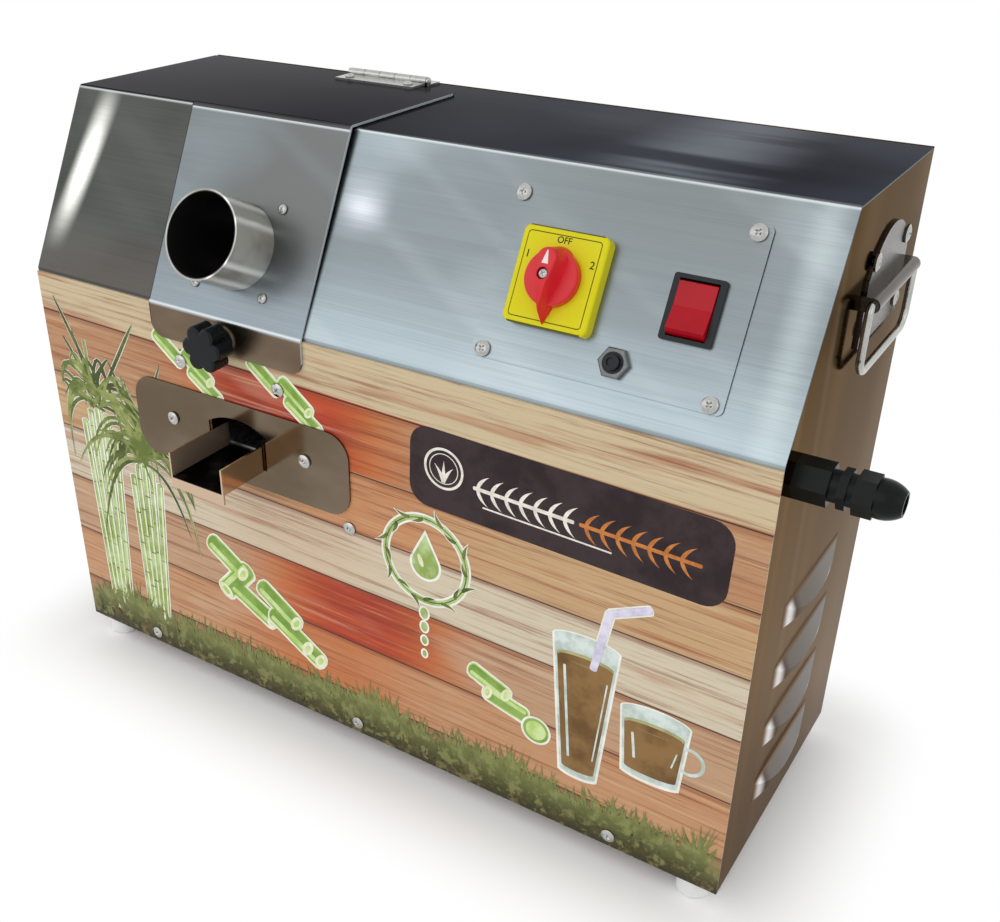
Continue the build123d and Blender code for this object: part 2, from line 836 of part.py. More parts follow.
def hinge_pin():
    start = hatch_centre_x - hinge_length / 2
    pin = rod_x(hinge_pin_radius, start, start + hinge_length, hinge_y, hinge_z)
    pin += rod_x(hinge_pin_head_radius, start - hinge_pin_head, start, hinge_y, hinge_z)
    return pin + rod_x(hinge_pin_head_radius, start + hinge_length, start + hinge_length + hinge_pin_head,
                       hinge_y, hinge_z)


def hinge_rear_screws():
    level = top_z + hinge_leaf_sheet
    return [Pos(x, hinge_y + hinge_rear_screw_back, level) * small_screw() for x in hinge_screw_xs()]


def hinge_front_screws():
    level = hatch_top + hinge_leaf_sheet
    reach = sheet + hinge_leaf_sheet + sheet_gap / 2
    screw = pan_screw(small_screw_radius, small_screw_head_radius, small_screw_head_height, reach)
    return [Pos(x, hinge_y - hinge_front_screw_back, level) * screw for x in hinge_screw_xs()]


def clamp_knob():
    """Lobed hand knob: a round hub behind a head with finger lobes."""
    hub = Pos(0, 0, washer_thickness) * extrude(Circle(knob_hub_radius), amount=knob_hub_height)
    lobe_circle = knob_radius - knob_lobe_radius
    head = Circle(lobe_circle + knob_lobe_radius / 3)
    for number in range(knob_lobes):
        head += Rot(0, 0, number * 360 / knob_lobes) * Pos(lobe_circle, 0) * Circle(knob_lobe_radius)
    head = Pos(0, 0, washer_thickness + knob_hub_height) * extrude(head, amount=knob_head_height)
    top = head.faces().sort_by(Axis.Z)[-1]
    head = fillet(top.edges(), knob_edge_radius)
    knob = hub + head
    bore = extrude(Circle(stud_radius), amount=washer_thickness + knob_hub_height + knob_head_height / 2)
    return lip_plane * (knob - bore)


def clamp_stud():
    length = washer_thickness + knob_hub_height + knob_head_height / 2
    stud = Pos(0, 0, -stud_reach) * extrude(Circle(stud_radius), amount=stud_reach + length)
    tip = stud.faces().sort_by(Axis.Z)[0]
    return lip_plane * chamfer(tip.edges(), stud_radius / 6)


def knob_washer():
    ring = Circle(washer_radius) - Circle(stud_radius + running_clearance)
    return lip_plane * extrude(ring, amount=washer_thickness)


def chute_plate_screw_places():
    half = chute_plate_screw_spacing / 2
    z = chute_plate_low + chute_plate_screw_height
    return [(chute_plate_centre_x - half, z), (chute_plate_centre_x + half, z)]


def chute_plate():
    """Polished plate round the juice outlet."""
    middle = chute_plate_low + chute_plate_height / 2
    plate = extrude(RectangleRounded(chute_plate_width, chute_plate_height, chute_plate_corner), amount=sheet)
    plate = front * Pos(chute_plate_centre_x, middle) * plate - outlet_cutter()
    for x, z in chute_plate_screw_places():
        plate -= front * Pos(x, z) * hole(panel_hole_radius, cut_overrun)
    return plate


def juice_chute():
    """Open channel that the juice runs out of, with a drip lip."""
    half = chute_width / 2
    mouth = front_y - chute_reach
    back = front_y + chute_inside
    high = chute_low + chute_wall_height
    x1 = chute_plate_centre_x - half
    x2 = chute_plate_centre_x + half
    channel = box(x1, x2, mouth, back, chute_low, high)
    channel -= box(x1 + chute_sheet, x2 - chute_sheet, mouth - cut_overrun, back + cut_overrun,
                   chute_low + chute_sheet, high + cut_overrun)
    lip = prism([(mouth, chute_low + chute_sheet), (mouth + chute_sheet, chute_low + chute_sheet),
                 (mouth + chute_sheet, chute_low - chute_lip), (mouth, chute_low - chute_lip)], x1, x2)
    return channel + lip


def juice_tray():
    """Sloping tray under the rollers that narrows to the spout."""
    x1 = mill_left_x
    x2 = mill_right_x
    neck1 = chute_plate_centre_x - tray_neck_width / 2
    neck2 = chute_plate_centre_x + tray_neck_width / 2
    plan = [(x1, tray_rear_y), (x1, tray_shoulder_y), (neck1, tray_neck_y), (neck1, tray_front_y),
            (neck2, tray_front_y), (neck2, tray_neck_y), (x2, tray_shoulder_y), (x2, tray_rear_y)]
    column = make_face(Polyline(*plan, close=True))
    walls = column - offset(column, -tray_sheet)
    rear_high = tray_rear_z + tray_wall_height
    column = extrude(column, amount=rear_high, dir=(0, 0, 1))
    walls = extrude(walls, amount=rear_high, dir=(0, 0, 1))
    floor_line = [(tray_front_y - tray_sheet, tray_front_z), (tray_rear_y + tray_sheet, tray_rear_z)]
    floor = column & band(floor_line, 0, tray_sheet, x1, x2)
    walls = walls & band(floor_line, -tray_wall_height, tray_sheet, x1, x2)
    tray = floor + walls
    open_end = box(neck1 + tray_sheet, neck2 - tray_sheet, tray_front_y - cut_overrun,
                   tray_front_y + 2 * tray_sheet, tray_front_z, tray_front_z + tray_wall_height + cut_overrun)
    return tray - open_end


def control_screw_places():
    half = control_width / 2 - control_screw_inset
    low = control_low + control_screw_low
    high = control_low + control_height - control_screw_low
    return [(control_centre_x + side * half, s) for side in (left, right) for s in (low, high)]


def selector_spot():
    return slope * Pos(selector_x, selector_up, control_sheet)


def rocker_spot():
    return slope * Pos(rocker_x, rocker_up, control_sheet)


def breaker_spot():
    return slope * Pos(breaker_x, breaker_up, control_sheet)


def control_plate():
    """Screwed plate that carries the switches."""
    plate = Pos(control_centre_x, control_low + control_height / 2) * extrude(
        RectangleRounded(control_width, control_height, control_corner), amount=control_sheet)
    plate = slope * plate
    for x, s in control_screw_places():
        plate -= slope * Pos(x, s, control_sheet) * hole(panel_hole_radius, cut_overrun)
    plate -= selector_spot() * hole(selector_shaft_radius + slip_clearance, cut_overrun)
    plate -= rocker_spot() * Box(rocker_body_width + slip_clearance, rocker_body_height + slip_clearance,
                                 cut_overrun)
    return plate - breaker_spot() * hole(breaker_neck_radius + running_clearance, cut_overrun)


def panel_screws():
    screw = panel_screw()
    screws = [front * Pos(x, z) * screw for x, z in front_screws]
    screws += [front * Pos(x, z, sheet) * screw for x, z in chute_plate_screw_places()]
    screws += [slope * Pos(x, s, control_sheet) * screw for x, s in control_screw_places()]
    return screws + [rear * Pos(-x, z) * screw for x, z in rear_screw_places()]


def selector_plate():
    """Raised face plate of the selector, with a fine groove along its rim."""
    face = RectangleRounded(selector_width, selector_height, selector_corner)
    plate = extrude(face, amount=selector_thickness)
    plate = fillet(plate.faces().sort_by(Axis.Z)[-1].edges(), selector_edge_radius)
    inset = 2 * selector_groove_inset
    outer = RectangleRounded(selector_width - inset, selector_height - inset, selector_corner / 2)
    groove = outer - offset(outer, -selector_groove_width)
    plate -= Pos(0, 0, selector_thickness - selector_groove_depth) * extrude(groove, amount=cut_overrun)
    bore = Circle(selector_shaft_radius + running_clearance)
    return selector_spot() * (plate - extrude(bore, amount=selector_thickness + cut_overrun))


def selector_body():
    """Switch body behind the plate: stacked contact decks with a gap line between them."""
    deck = selector_body_depth / selector_deck_count
    inner = selector_body_size - 2 * selector_deck_step
    body = extrude(Rectangle(inner, inner), amount=-selector_body_depth)
    for number in range(selector_deck_count):
        square = Rectangle(selector_body_size, selector_body_size)
        block = extrude(square, amount=-(deck - selector_deck_gap))
        body += Pos(0, 0, -number * deck) * block
    body = Pos(0, 0, -control_sheet) * body
    return selector_spot() * (body - hole(selector_shaft_radius + running_clearance, selector_shaft_depth))


def selector_handle():
    """Turning handle: a round skirt under a drafted grip with a round nose and a keeled tail."""
    base = selector_thickness + slip_clearance
    skirt = Pos(0, 0, base) * extrude(Circle(handle_disc_radius), amount=handle_disc_height)
    skirt = fillet(skirt.faces().sort_by(Axis.Z)[-1].edges(), handle_disc_edge_radius)
    turn = math.radians(handle_side_deg)
    nose_centre = handle_nose - handle_nose_radius
    start = (handle_nose_radius * math.cos(turn), nose_centre - handle_nose_radius * math.sin(turn))
    side = TangentArc(start, (0, -handle_tail), tangent=(-math.sin(turn), -math.cos(turn)))
    cap = ThreePointArc(start, (0, handle_nose), (-start[0], start[1]))
    grip = make_face(side + cap + mirror(side, about=Plane.YZ))
    grip = extrude(grip, amount=handle_ridge_height, taper=handle_draft_deg)
    if grip.center().Z < 0:
        grip = mirror(grip, about=Plane.XY)
    grip = fillet(grip.faces().sort_by(Axis.Z)[-1].edges(), handle_edge_radius)
    keel = make_face(
        ThreePointArc((-handle_keel_start, handle_ridge_height),
                      (-(handle_keel_start + handle_tail) / 2,
                       (handle_ridge_height + handle_keel_low) / 2 + handle_keel_belly),
                      (-handle_tail, handle_keel_low))
        + Polyline((-handle_tail, handle_keel_low), (-handle_tail - cut_overrun, handle_keel_low),
                   (-handle_tail - cut_overrun, handle_ridge_height + cut_overrun),
                   (-handle_keel_start, handle_ridge_height + cut_overrun),
                   (-handle_keel_start, handle_ridge_height))
    )
    grip -= Pos(-handle_disc_radius, 0, 0) * extrude(
        Plane.YZ * keel, amount=2 * handle_disc_radius, dir=(1, 0, 0))
    handle = skirt + Pos(0, 0, base) * grip
    shaft = Pos(0, 0, -(selector_shaft_depth - control_sheet)) * extrude(
        Circle(selector_shaft_radius), amount=selector_shaft_depth - control_sheet + base)
    handle += shaft
    top = base + handle_ridge_height
    well = Pos(0, 0, top - handle_screw_sink) * extrude(Circle(handle_screw_head_radius + screw_clearance),
                                                      amount=handle_screw_sink + cut_overrun)
    bore = hole(handle_screw_radius + running_clearance, handle_screw_length + handle_screw_sink)
    return selector_spot() * (handle - well - Pos(0, 0, top) * bore)


def selector_handle_screw():
    top = selector_thickness + slip_clearance + handle_ridge_height
    screw = pan_screw(handle_screw_radius, handle_screw_head_radius, handle_screw_sink, handle_screw_length)
    return selector_spot() * Pos(0, 0, top - handle_screw_sink) * screw


def rocker_bezel():
    """Rocker switch housing: a thin frame in front and a boxed body with a deep pocket."""
    frame = extrude(RectangleRounded(rocker_bezel_width, rocker_bezel_height, rocker_bezel_corner),
                    amount=rocker_bezel_thickness)
    body = extrude(Rectangle(rocker_body_width, rocker_body_height), amount=-rocker_body_depth)
    opening_width = rocker_button_width + 2 * rocker_button_gap
    opening_height = 2 * (rocker_button_half_length + rocker_button_gap)
    pocket = Pos(0, 0, -rocker_pocket_depth) * extrude(Rectangle(opening_width, opening_height),
                                                     amount=rocker_pocket_depth + cut_overrun)
    pin_end = rocker_button_width / 2 + rocker_pin_length + slip_clearance
    pin = rod_x(rocker_pin_radius + running_clearance, -pin_end, pin_end, 0, -rocker_pivot_depth)
    return rocker_spot() * (frame + body - pocket - pin)


def rocker_button():
    """Rocking button with two shallow faces, swung on two side pins."""
    half = rocker_button_half_length
    crown = rocker_crown
    reach = half + half
    high = crown + rocker_end_rise * reach / half
    low = -rocker_button_below
    faces = [(-reach, high), (0, crown), (reach, high), (reach, low), (-reach, low)]
    width = rocker_button_width / 2
    block = prism(faces, -width, width) & rod_x(half, -width, width, 0, 0)
    pins = rod_x(rocker_pin_radius, -width - rocker_pin_length, width + rocker_pin_length, 0, 0)
    return rocker_spot() * Pos(0, 0, -rocker_pivot_depth) * Rot(-rocker_tilt_deg, 0, 0) * (block + pins)


def breaker_body():
    """Overload breaker behind the plate, with the threaded neck of its reset button."""
    neck_depth = control_sheet + breaker_button_depth
    body = Pos(0, breaker_body_up, -control_sheet) * extrude(
        Rectangle(breaker_body_width, breaker_body_height), amount=-breaker_body_depth)
    neck = Pos(0, 0, -control_sheet) * extrude(
        Circle(breaker_neck_radius), amount=control_sheet + breaker_neck_rise)
    bore = Pos(0, 0, breaker_neck_rise) * hole(breaker_button_radius + running_clearance,
                                               breaker_neck_rise + neck_depth)
    return breaker_spot() * (body + neck - bore)


def breaker_nut():
    nut = hexagon(breaker_nut_width, breaker_nut_height)
    bore = extrude(Circle(breaker_neck_radius + running_clearance), amount=breaker_nut_height)
    return breaker_spot() * (chamfer_top(nut, breaker_nut_height / 6) - bore)


def chamfer_top(solid, size):
    return chamfer(solid.faces().sort_by(Axis.Z)[-1].edges(), size)


def breaker_button():
    """Push button with a shallow dimple, able to travel into the neck."""
    depth = breaker_neck_rise + breaker_button_depth - breaker_travel - slip_clearance
    top = breaker_neck_rise + breaker_button_rise
    button = extrude(Circle(breaker_button_radius), amount=depth + breaker_button_rise)
    button = Pos(0, 0, breaker_neck_rise - depth) * button
    button = chamfer_top(button, breaker_dimple_depth / 2)
    dimple = Pos(0, 0, top - breaker_dimple_depth) * extrude(
        Circle(breaker_dimple_radius), amount=cut_overrun)
    return breaker_spot() * (button - dimple)


def gland_axis():
    return right_side * Pos(gland_y, gland_z)


def gland_body():
    """Body of the cable gland: hexagon, neck, ring, thread and the spigot through the wall."""
    length = 0
    body = hexagon(gland_base_width, gland_base_length)
    length += gland_base_length
    body += Pos(0, 0, length) * extrude(Circle(gland_neck_radius), amount=gland_neck_length)
    length += gland_neck_length
    body += Pos(0, 0, length) * hexagon(gland_ring_width, gland_ring_length)
    length += gland_ring_length
    body += Pos(0, 0, length) * extrude(Circle(gland_thread_radius), amount=gland_thread_length)
    length += gland_thread_length
    body += Pos(0, 0, -gland_spigot_length) * extrude(Circle(gland_spigot_radius), amount=gland_spigot_length)
    bore = Pos(0, 0, -gland_spigot_length - cut_overrun) * extrude(
        Circle(gland_bore_radius), amount=gland_spigot_length + length + 2 * cut_overrun)
    return gland_axis() * (body - bore)


def gland_cap_start():
    return gland_base_length + gland_neck_length + gland_ring_length + gland_cap_gap


def gland_dome_nut():
    """Domed clamping nut of the gland, hollow, with a round cable mouth."""
    hex_part = hexagon(gland_cap_width, gland_cap_hex_length)
    total = gland_cap_hex_length + gland_cap_dome_length
    radius = gland_cap_width / 2
    mouth = gland_cap_mouth_radius
    wall = gland_cap_wall
    shoulder = (radius + mouth) / 2 + wall
    profile = (
        Line((0, 0), (radius, 0))
        + Line((radius, 0), (radius, gland_cap_hex_length))
        + ThreePointArc((radius, gland_cap_hex_length),
                        (shoulder, gland_cap_hex_length + gland_cap_dome_length * gland_shoulder_share),
                        (mouth + wall, total))
        + Line((mouth + wall, total), (0, total))
        + Line((0, total), (0, 0))
    )
    dome = revolve(Plane.XZ * make_face(profile), Axis.Z)
    nut = hex_part + dome
    thread_room = gland_thread_length - gland_cap_gap
    inside = extrude(Circle(gland_thread_radius + running_clearance), amount=thread_room + slip_clearance)
    nose = Pos(0, 0, thread_room + slip_clearance) * extrude(
        Circle(mouth + gland_seal_wall), amount=gland_cap_dome_length / 2)
    nut -= inside + nose + extrude(Circle(mouth), amount=total)
    return gland_axis() * Pos(0, 0, gland_cap_start()) * nut


def gland_seal():
    """Rubber ring that grips the cable inside the domed nut."""
    thread_room = gland_thread_length - gland_cap_gap
    ring = Circle(gland_cap_mouth_radius + gland_seal_wall)
    ring -= Circle(gland_cap_mouth_radius - gland_seal_wall / 2)
    seal = Pos(0, 0, thread_room + slip_clearance) * extrude(ring, amount=gland_cap_dome_length / 2)
    return gland_axis() * Pos(0, 0, gland_cap_start()) * seal


def gland_locknut():
    nut = hexagon(gland_locknut_width, gland_locknut_height)
    nut -= extrude(Circle(gland_spigot_radius + running_clearance), amount=gland_locknut_height)
    return gland_axis() * Pos(0, 0, -sheet - gland_locknut_height) * nut


def handle_bracket():
    """Folded bracket of a lifting handle: an arched plate with a bead that holds the rod."""
    low = -handle_plate_below
    high = handle_plate_above
    half = handle_plate_half
    face = make_face(
        Polyline((-half, high), (-half, low), (half, low), (half, high))
        + ThreePointArc((half, high), (0, high + handle_plate_arch), (-half, high))
    )
    face = face + Pos(0, high) * Rectangle(2 * half, handle_plate_corner)
    plate = extrude(face, amount=handle_plate_sheet)
    bead_half = bail_span / 2 - bail_pivot_bend - slip_clearance
    bead = Pos(-bead_half, 0, handle_pivot_out) * Rot(0, 90, 0) * extrude(
        Circle(handle_bead_radius), amount=2 * bead_half)
    bead += box(-bead_half, bead_half, -handle_bead_radius, handle_bead_radius, 0, handle_pivot_out)
    bore = Pos(-half - bail_span, 0, handle_pivot_out) * Rot(0, 90, 0) * extrude(
        Circle(bail_rod_radius + running_clearance), amount=2 * (half + bail_span))
    bracket = plate + bead - bore
    for y, z in handle_bolt_places():
        bracket -= Pos(y - handle_centre_y, z - handle_pivot_z, handle_plate_sheet) * hole(
            handle_bolt_radius + screw_clearance, cut_overrun)
    return right_side * Pos(handle_centre_y, handle_pivot_z) * bracket


def handle_brackets():
    bracket = handle_bracket()
    return [mirror(bracket, about=Plane.YZ), bracket]


def bail(side):
    """Bent rod handle whose inward ends turn in the bracket's bead."""
    x = half_width + handle_pivot_out
    half = bail_span / 2
    y1 = handle_centre_y - half
    y2 = handle_centre_y + half
    low = handle_pivot_z - bail_drop
    path = FilletPolyline(
        (x, y1 + bail_pin_length, handle_pivot_z), (x, y1, handle_pivot_z), (x, y1, low),
        (x, y2, low), (x, y2, handle_pivot_z), (x, y2 - bail_pin_length, handle_pivot_z),
        radius=[bail_pivot_bend, bail_grip_bend, bail_grip_bend, bail_pivot_bend],
    )
    rod = sweep(Plane(origin=path @ 0, z_dir=path % 0) * Circle(bail_rod_radius), path=path)
    return rod if side == right else mirror(rod, about=Plane.YZ)


def handle_bolts():
    """Dome head bolts of both brackets, with their nuts inside the walls."""
    bolts = []
    head = pan_screw(handle_bolt_radius, handle_bolt_head_radius, handle_bolt_head_height,
                     handle_plate_sheet + handle_bolt_length)
    nut = Pos(0, 0, -handle_plate_sheet - sheet - handle_nut_height) * (
        hexagon(handle_nut_width, handle_nut_height)
        - extrude(Circle(handle_bolt_radius + running_clearance), amount=handle_nut_height)
    )
    for y, z in handle_bolt_places():
        for piece in (head, nut):
            placed = right_side * Pos(y, z, handle_plate_sheet) * piece
            bolts += [placed, mirror(placed, about=Plane.YZ)]
    return bolts


def feet():
    """Moulded feet with a recess for the screw."""
    foot = extrude(Circle(foot_radius), amount=foot_height)
    foot = fillet(foot.faces().sort_by(Axis.Z)[0].edges(), foot_edge_radius)
    foot -= extrude(Circle(foot_screw_head_radius + slip_clearance), amount=foot_recess_depth)
    foot -= extrude(Circle(foot_screw_radius + screw_clearance), amount=foot_height)
    return [Pos(x, y, bottom_z - foot_height) * foot for x, y in foot_places]


def foot_screws():
    head = Pos(0, 0, foot_recess_depth - foot_screw_head_height) * extrude(
        Circle(foot_screw_head_radius), amount=foot_screw_head_height)
    shank = Pos(0, 0, foot_recess_depth) * extrude(
        Circle(foot_screw_radius), amount=foot_height - foot_recess_depth + foot_screw_grip)
    return [Pos(x, y, bottom_z - foot_height) * (head + shank) for x, y in foot_places]


gear_module = 2 * roller_distance / (top_teeth + lower_teeth)
pinion_distance = gear_module * (drive_teeth + pinion_teeth) / 2
pinion_z = top_roller_z - pinion_distance
floor_z = bottom_z + sheet
shaft_seats = [
    (roller_centre_y, top_roller_z, top_shaft_radius),
    (front_roller_y, lower_roller_z, lower_shaft_radius),
    (rear_roller_y, lower_roller_z, lower_shaft_radius),
]
gear_left_x = mill_left_x - mill_plate - bush_flange_thickness - gear_run_gap - gear_face
drive_left_x = mill_right_x + mill_plate + bush_flange_thickness + gear_run_gap
gearbox_left_x = drive_left_x + gear_face + gearbox_face_gap
tie_places = [
    (mill_front_y + tie_bar_inset, tie_bar_z),
    (mill_rear_y - tie_bar_inset, tie_bar_z),
    (upper_tie_y, upper_tie_z),
]


def mill_frame(start_x, tab_side):
    """Upright plate of the mill, seated on the floor pan with a bolting foot."""
    points = [(mill_front_y, floor_z), (mill_front_y, mill_shoulder_z), (mill_top_front_y, mill_top_z),
              (mill_top_rear_y, mill_top_z), (mill_rear_y, mill_shoulder_z), (mill_rear_y, floor_z)]
    plate = prism(points, start_x, start_x + mill_plate)
    window = box(start_x - cut_overrun, start_x + mill_plate + cut_overrun,
                 mill_front_y + 2 * mill_window_margin, mill_rear_y - 2 * mill_window_margin,
                 tie_bar_z + mill_window_margin, mill_window_top_z)
    plate -= fillet(window.edges().filter_by(Axis.X), mill_window_corner)
    outer = start_x if tab_side == left else start_x + mill_plate
    tab = sorted((outer, outer + tab_side * base_bolt_tab))
    plate += box(tab[0], tab[1], mill_front_y, mill_rear_y, floor_z, floor_z + mill_plate)
    for y, z, radius in shaft_seats:
        plate -= rod_x(radius + bush_wall + running_clearance, start_x - cut_overrun,
                       start_x + mill_plate + cut_overrun, y, z)
    return plate


def mill_tie_bars():
    return [rod_x(tie_bar_radius, mill_left_x, mill_right_x, y, z) for y, z in tie_places]


def mill_bushings():
    """Flanged bronze bushings in both frame plates."""
    bushings = []
    for y, z, radius in shaft_seats:
        for start, outer in ((mill_left_x - mill_plate, left), (mill_right_x, right)):
            sleeve = rod_x(radius + bush_wall, start, start + mill_plate, y, z)
            edge = start if outer == left else start + mill_plate
            flange = sorted((edge, edge + outer * bush_flange_thickness))
            sleeve += rod_x(radius + bush_wall + bush_flange_width, flange[0], flange[1], y, z)
            bore = rod_x(radius + running_clearance, start - cut_overrun,
                         start + mill_plate + cut_overrun, y, z)
            bushings.append(sleeve - bore)
    return bushings


def fluted_roller(radius):
    """Crushing roller section with shallow lengthwise flutes."""
    count = int(2 * math.pi * radius / flute_pitch)
    points = []
    for number in range(count):
        for share, depth in ((0, 0), (0.5, flute_depth)):
            angle = 2 * math.pi * (number + share) / count
            points.append(((radius - depth) * math.cos(angle), (radius - depth) * math.sin(angle)))
    return side_face(points)


def roller(radius, shaft_radius, y, z, left_end, right_end):
    """Roller with its shaft through both frame plates."""
    start = mill_left_x + roller_end_gap
    drum = Pos(start, y, z) * extrude(fluted_roller(radius), amount=mill_right_x - roller_end_gap - start,
                                      dir=(1, 0, 0))
    return drum + rod_x(shaft_radius, left_end, right_end, y, z)


def gear_face_outline(teeth, turn):
    """Involute gear outline in the side view, turned by an angle in radians."""
    pitch = gear_module * teeth / 2
    base = pitch * math.cos(math.radians(pressure_deg))
    tip = pitch + gear_module
    root = pitch - gear_module - tooth_root_gap
    involute = math.tan(math.radians(pressure_deg)) - math.radians(pressure_deg)
    half_tooth = math.pi / teeth / 2 - tooth_backlash / 2 / pitch / 2 + involute
    start = max(base, root)
    points = []
    for number in range(teeth):
        middle = turn + 2 * math.pi * number / teeth
        flank = []
        for share in flank_shares:
            radius = start + (tip - start) * share
            roll = math.acos(min(1, base / radius))
            flank.append((half_tooth - (math.tan(roll) - roll), radius))
        points.append((middle - flank[0][0], root))
        points += [(middle - angle, radius) for angle, radius in flank]
        points += [(middle + angle, radius) for angle, radius in flank[::-1]]
        points.append((middle + flank[0][0], root))
    return side_face([(radius * math.cos(angle), radius * math.sin(angle)) for angle, radius in points])


def mesh_turn(teeth, turn, other_teeth, direction):
    """Return the turn of a second gear that meshes with the first in a direction."""
    phase = (direction - turn) / (2 * math.pi / teeth)
    return direction + math.pi - (0.5 - phase) * 2 * math.pi / other_teeth


def gear(teeth, turn, start_x, y, z, bore_radius, hub_side):
    """Spur gear with a hub, bored for its shaft."""
    wheel = extrude(gear_face_outline(teeth, turn), amount=gear_face, dir=(1, 0, 0))
    hub = bore_radius + gear_hub_wall
    start = -gear_hub_length if hub_side == left else gear_face
    wheel += rod_x(hub, start, start + gear_hub_length, 0, 0)
    wheel -= rod_x(bore_radius, -gear_face, 2 * gear_face, 0, 0)
    return Pos(start_x, y, z) * wheel


front_direction = math.atan2(lower_roller_z - top_roller_z, front_roller_y - roller_centre_y)
rear_direction = math.atan2(lower_roller_z - top_roller_z, rear_roller_y - roller_centre_y)
down_direction = -math.pi / 2
top_turn = 0.0
drive_turn = 0.0


def top_gear():
    return gear(top_teeth, top_turn, gear_left_x, roller_centre_y, top_roller_z,
                top_shaft_radius + running_clearance, left)


def front_gear():
    turn = mesh_turn(top_teeth, top_turn, lower_teeth, front_direction)
    return gear(lower_teeth, turn, gear_left_x, front_roller_y, lower_roller_z,
                lower_shaft_radius + running_clearance, left)


def rear_gear():
    turn = mesh_turn(top_teeth, top_turn, lower_teeth, rear_direction)
    return gear(lower_teeth, turn, gear_left_x, rear_roller_y, lower_roller_z,
                lower_shaft_radius + running_clearance, left)


def drive_gear():
    """Large gear on the top roller's shaft, lightened by round holes."""
    wheel = gear(drive_teeth, drive_turn, drive_left_x, roller_centre_y, top_roller_z,
                 top_shaft_radius + running_clearance, right)
    circle = (gear_module * drive_teeth / 2 - 2 * gear_module + top_shaft_radius + gear_hub_wall) / 2
    for number in range(drive_web_hole_count):
        angle = 2 * math.pi * number / drive_web_hole_count
        wheel -= rod_x(drive_web_hole_radius, drive_left_x - cut_overrun,
                       drive_left_x + gear_face + cut_overrun,
                       roller_centre_y + circle * math.cos(angle),
                       top_roller_z + circle * math.sin(angle))
    return wheel


def motor_pinion():
    """Pinion in one piece with the gearbox's output shaft."""
    turn = mesh_turn(drive_teeth, drive_turn, pinion_teeth, down_direction)
    wheel = Pos(drive_left_x, roller_centre_y, pinion_z) * extrude(
        gear_face_outline(pinion_teeth, turn), amount=gear_face, dir=(1, 0, 0))
    return wheel + rod_x(output_shaft_radius, drive_left_x, gearbox_left_x + output_shaft_depth,
                         roller_centre_y, pinion_z)


gearbox_z = pinion_z - gearbox_offset
stand_top_z = gearbox_z - gearbox_size / 2
motor_left_x = gearbox_left_x + gearbox_length
motor_right_x = inner_x - motor_end_gap - cowl_length
motor_foot_length = (motor_right_x - motor_left_x) * motor_foot_share


def gearbox():
    """Reduction gearbox with the bearing boss of its output shaft."""
    half = gearbox_size / 2
    case = box(gearbox_left_x, motor_left_x, roller_centre_y - half, roller_centre_y + half,
               gearbox_z - half, gearbox_z + half)
    case = fillet(case.edges().filter_by(Axis.X), gearbox_corner)
    case += rod_x(gearbox_boss_radius, gearbox_left_x - gearbox_boss_length, gearbox_left_x,
                  roller_centre_y, pinion_z)
    return case - rod_x(output_shaft_radius + running_clearance, gearbox_left_x - cut_overrun,
                        gearbox_left_x + output_shaft_depth + gearbox_boss_length, roller_centre_y, pinion_z)


def motor():
    """Finned motor with its foot, and the slotted fan cowl behind it."""
    core = rod_x(motor_radius, motor_left_x, motor_right_x, roller_centre_y, gearbox_z)
    fin = box(motor_left_x + gearbox_corner, motor_right_x - gearbox_corner, -motor_fin_width / 2,
              motor_fin_width / 2, motor_radius - motor_fin_depth, motor_radius + motor_fin_depth)
    groove = [Pos(0, roller_centre_y, gearbox_z) * Rot(360 * number / motor_fin_count, 0, 0) * fin
              for number in range(motor_fin_count)]
    core -= groove
    half = motor_foot_width / 2
    middle = (motor_left_x + motor_right_x) / 2
    core += box(middle - motor_foot_length / 2, middle + motor_foot_length / 2, roller_centre_y - half,
                roller_centre_y + half, stand_top_z, gearbox_z - motor_radius + 2 * motor_fin_depth)
    cowl_inside = motor_radius + running_clearance
    cowl = rod_x(cowl_inside + cowl_sheet, motor_right_x - cowl_lap, motor_right_x + cowl_length,
                 roller_centre_y, gearbox_z)
    back = cowl.faces().sort_by(Axis.X)[-1].edges()
    cowl = fillet(back, cowl_front_radius)
    cowl -= rod_x(cowl_inside, motor_right_x - cowl_lap - cut_overrun,
                  motor_right_x + cowl_length - cowl_sheet - cowl_front_radius, roller_centre_y, gearbox_z)
    slot = box(motor_right_x + cowl_length - 2 * cowl_front_radius, motor_right_x + cowl_length + cut_overrun,
               -cowl_slot_width / 2, cowl_slot_width / 2, cowl_slot_inner, cowl_slot_outer)
    cowl -= [Pos(0, roller_centre_y, gearbox_z) * Rot(360 * number / cowl_slot_count, 0, 0) * slot
             for number in range(cowl_slot_count)]
    return [core, cowl]


def motor_stand():
    """Folded stand under the gearbox and the motor."""
    outer1 = roller_centre_y - stand_half_width
    outer2 = roller_centre_y + stand_half_width
    foot_top = floor_z + stand_sheet
    line = [(outer1 - stand_foot, foot_top), (outer1, foot_top), (outer1, stand_top_z),
            (outer2, stand_top_z), (outer2, foot_top), (outer2 + stand_foot, foot_top)]
    return band(line, 0, stand_sheet, gearbox_left_x, motor_right_x)


def capacitor():
    can = Pos(capacitor_x, capacitor_y, floor_z) * extrude(Circle(capacitor_radius), amount=capacitor_height)
    return fillet(can.faces().sort_by(Axis.Z)[-1].edges(), capacitor_edge)


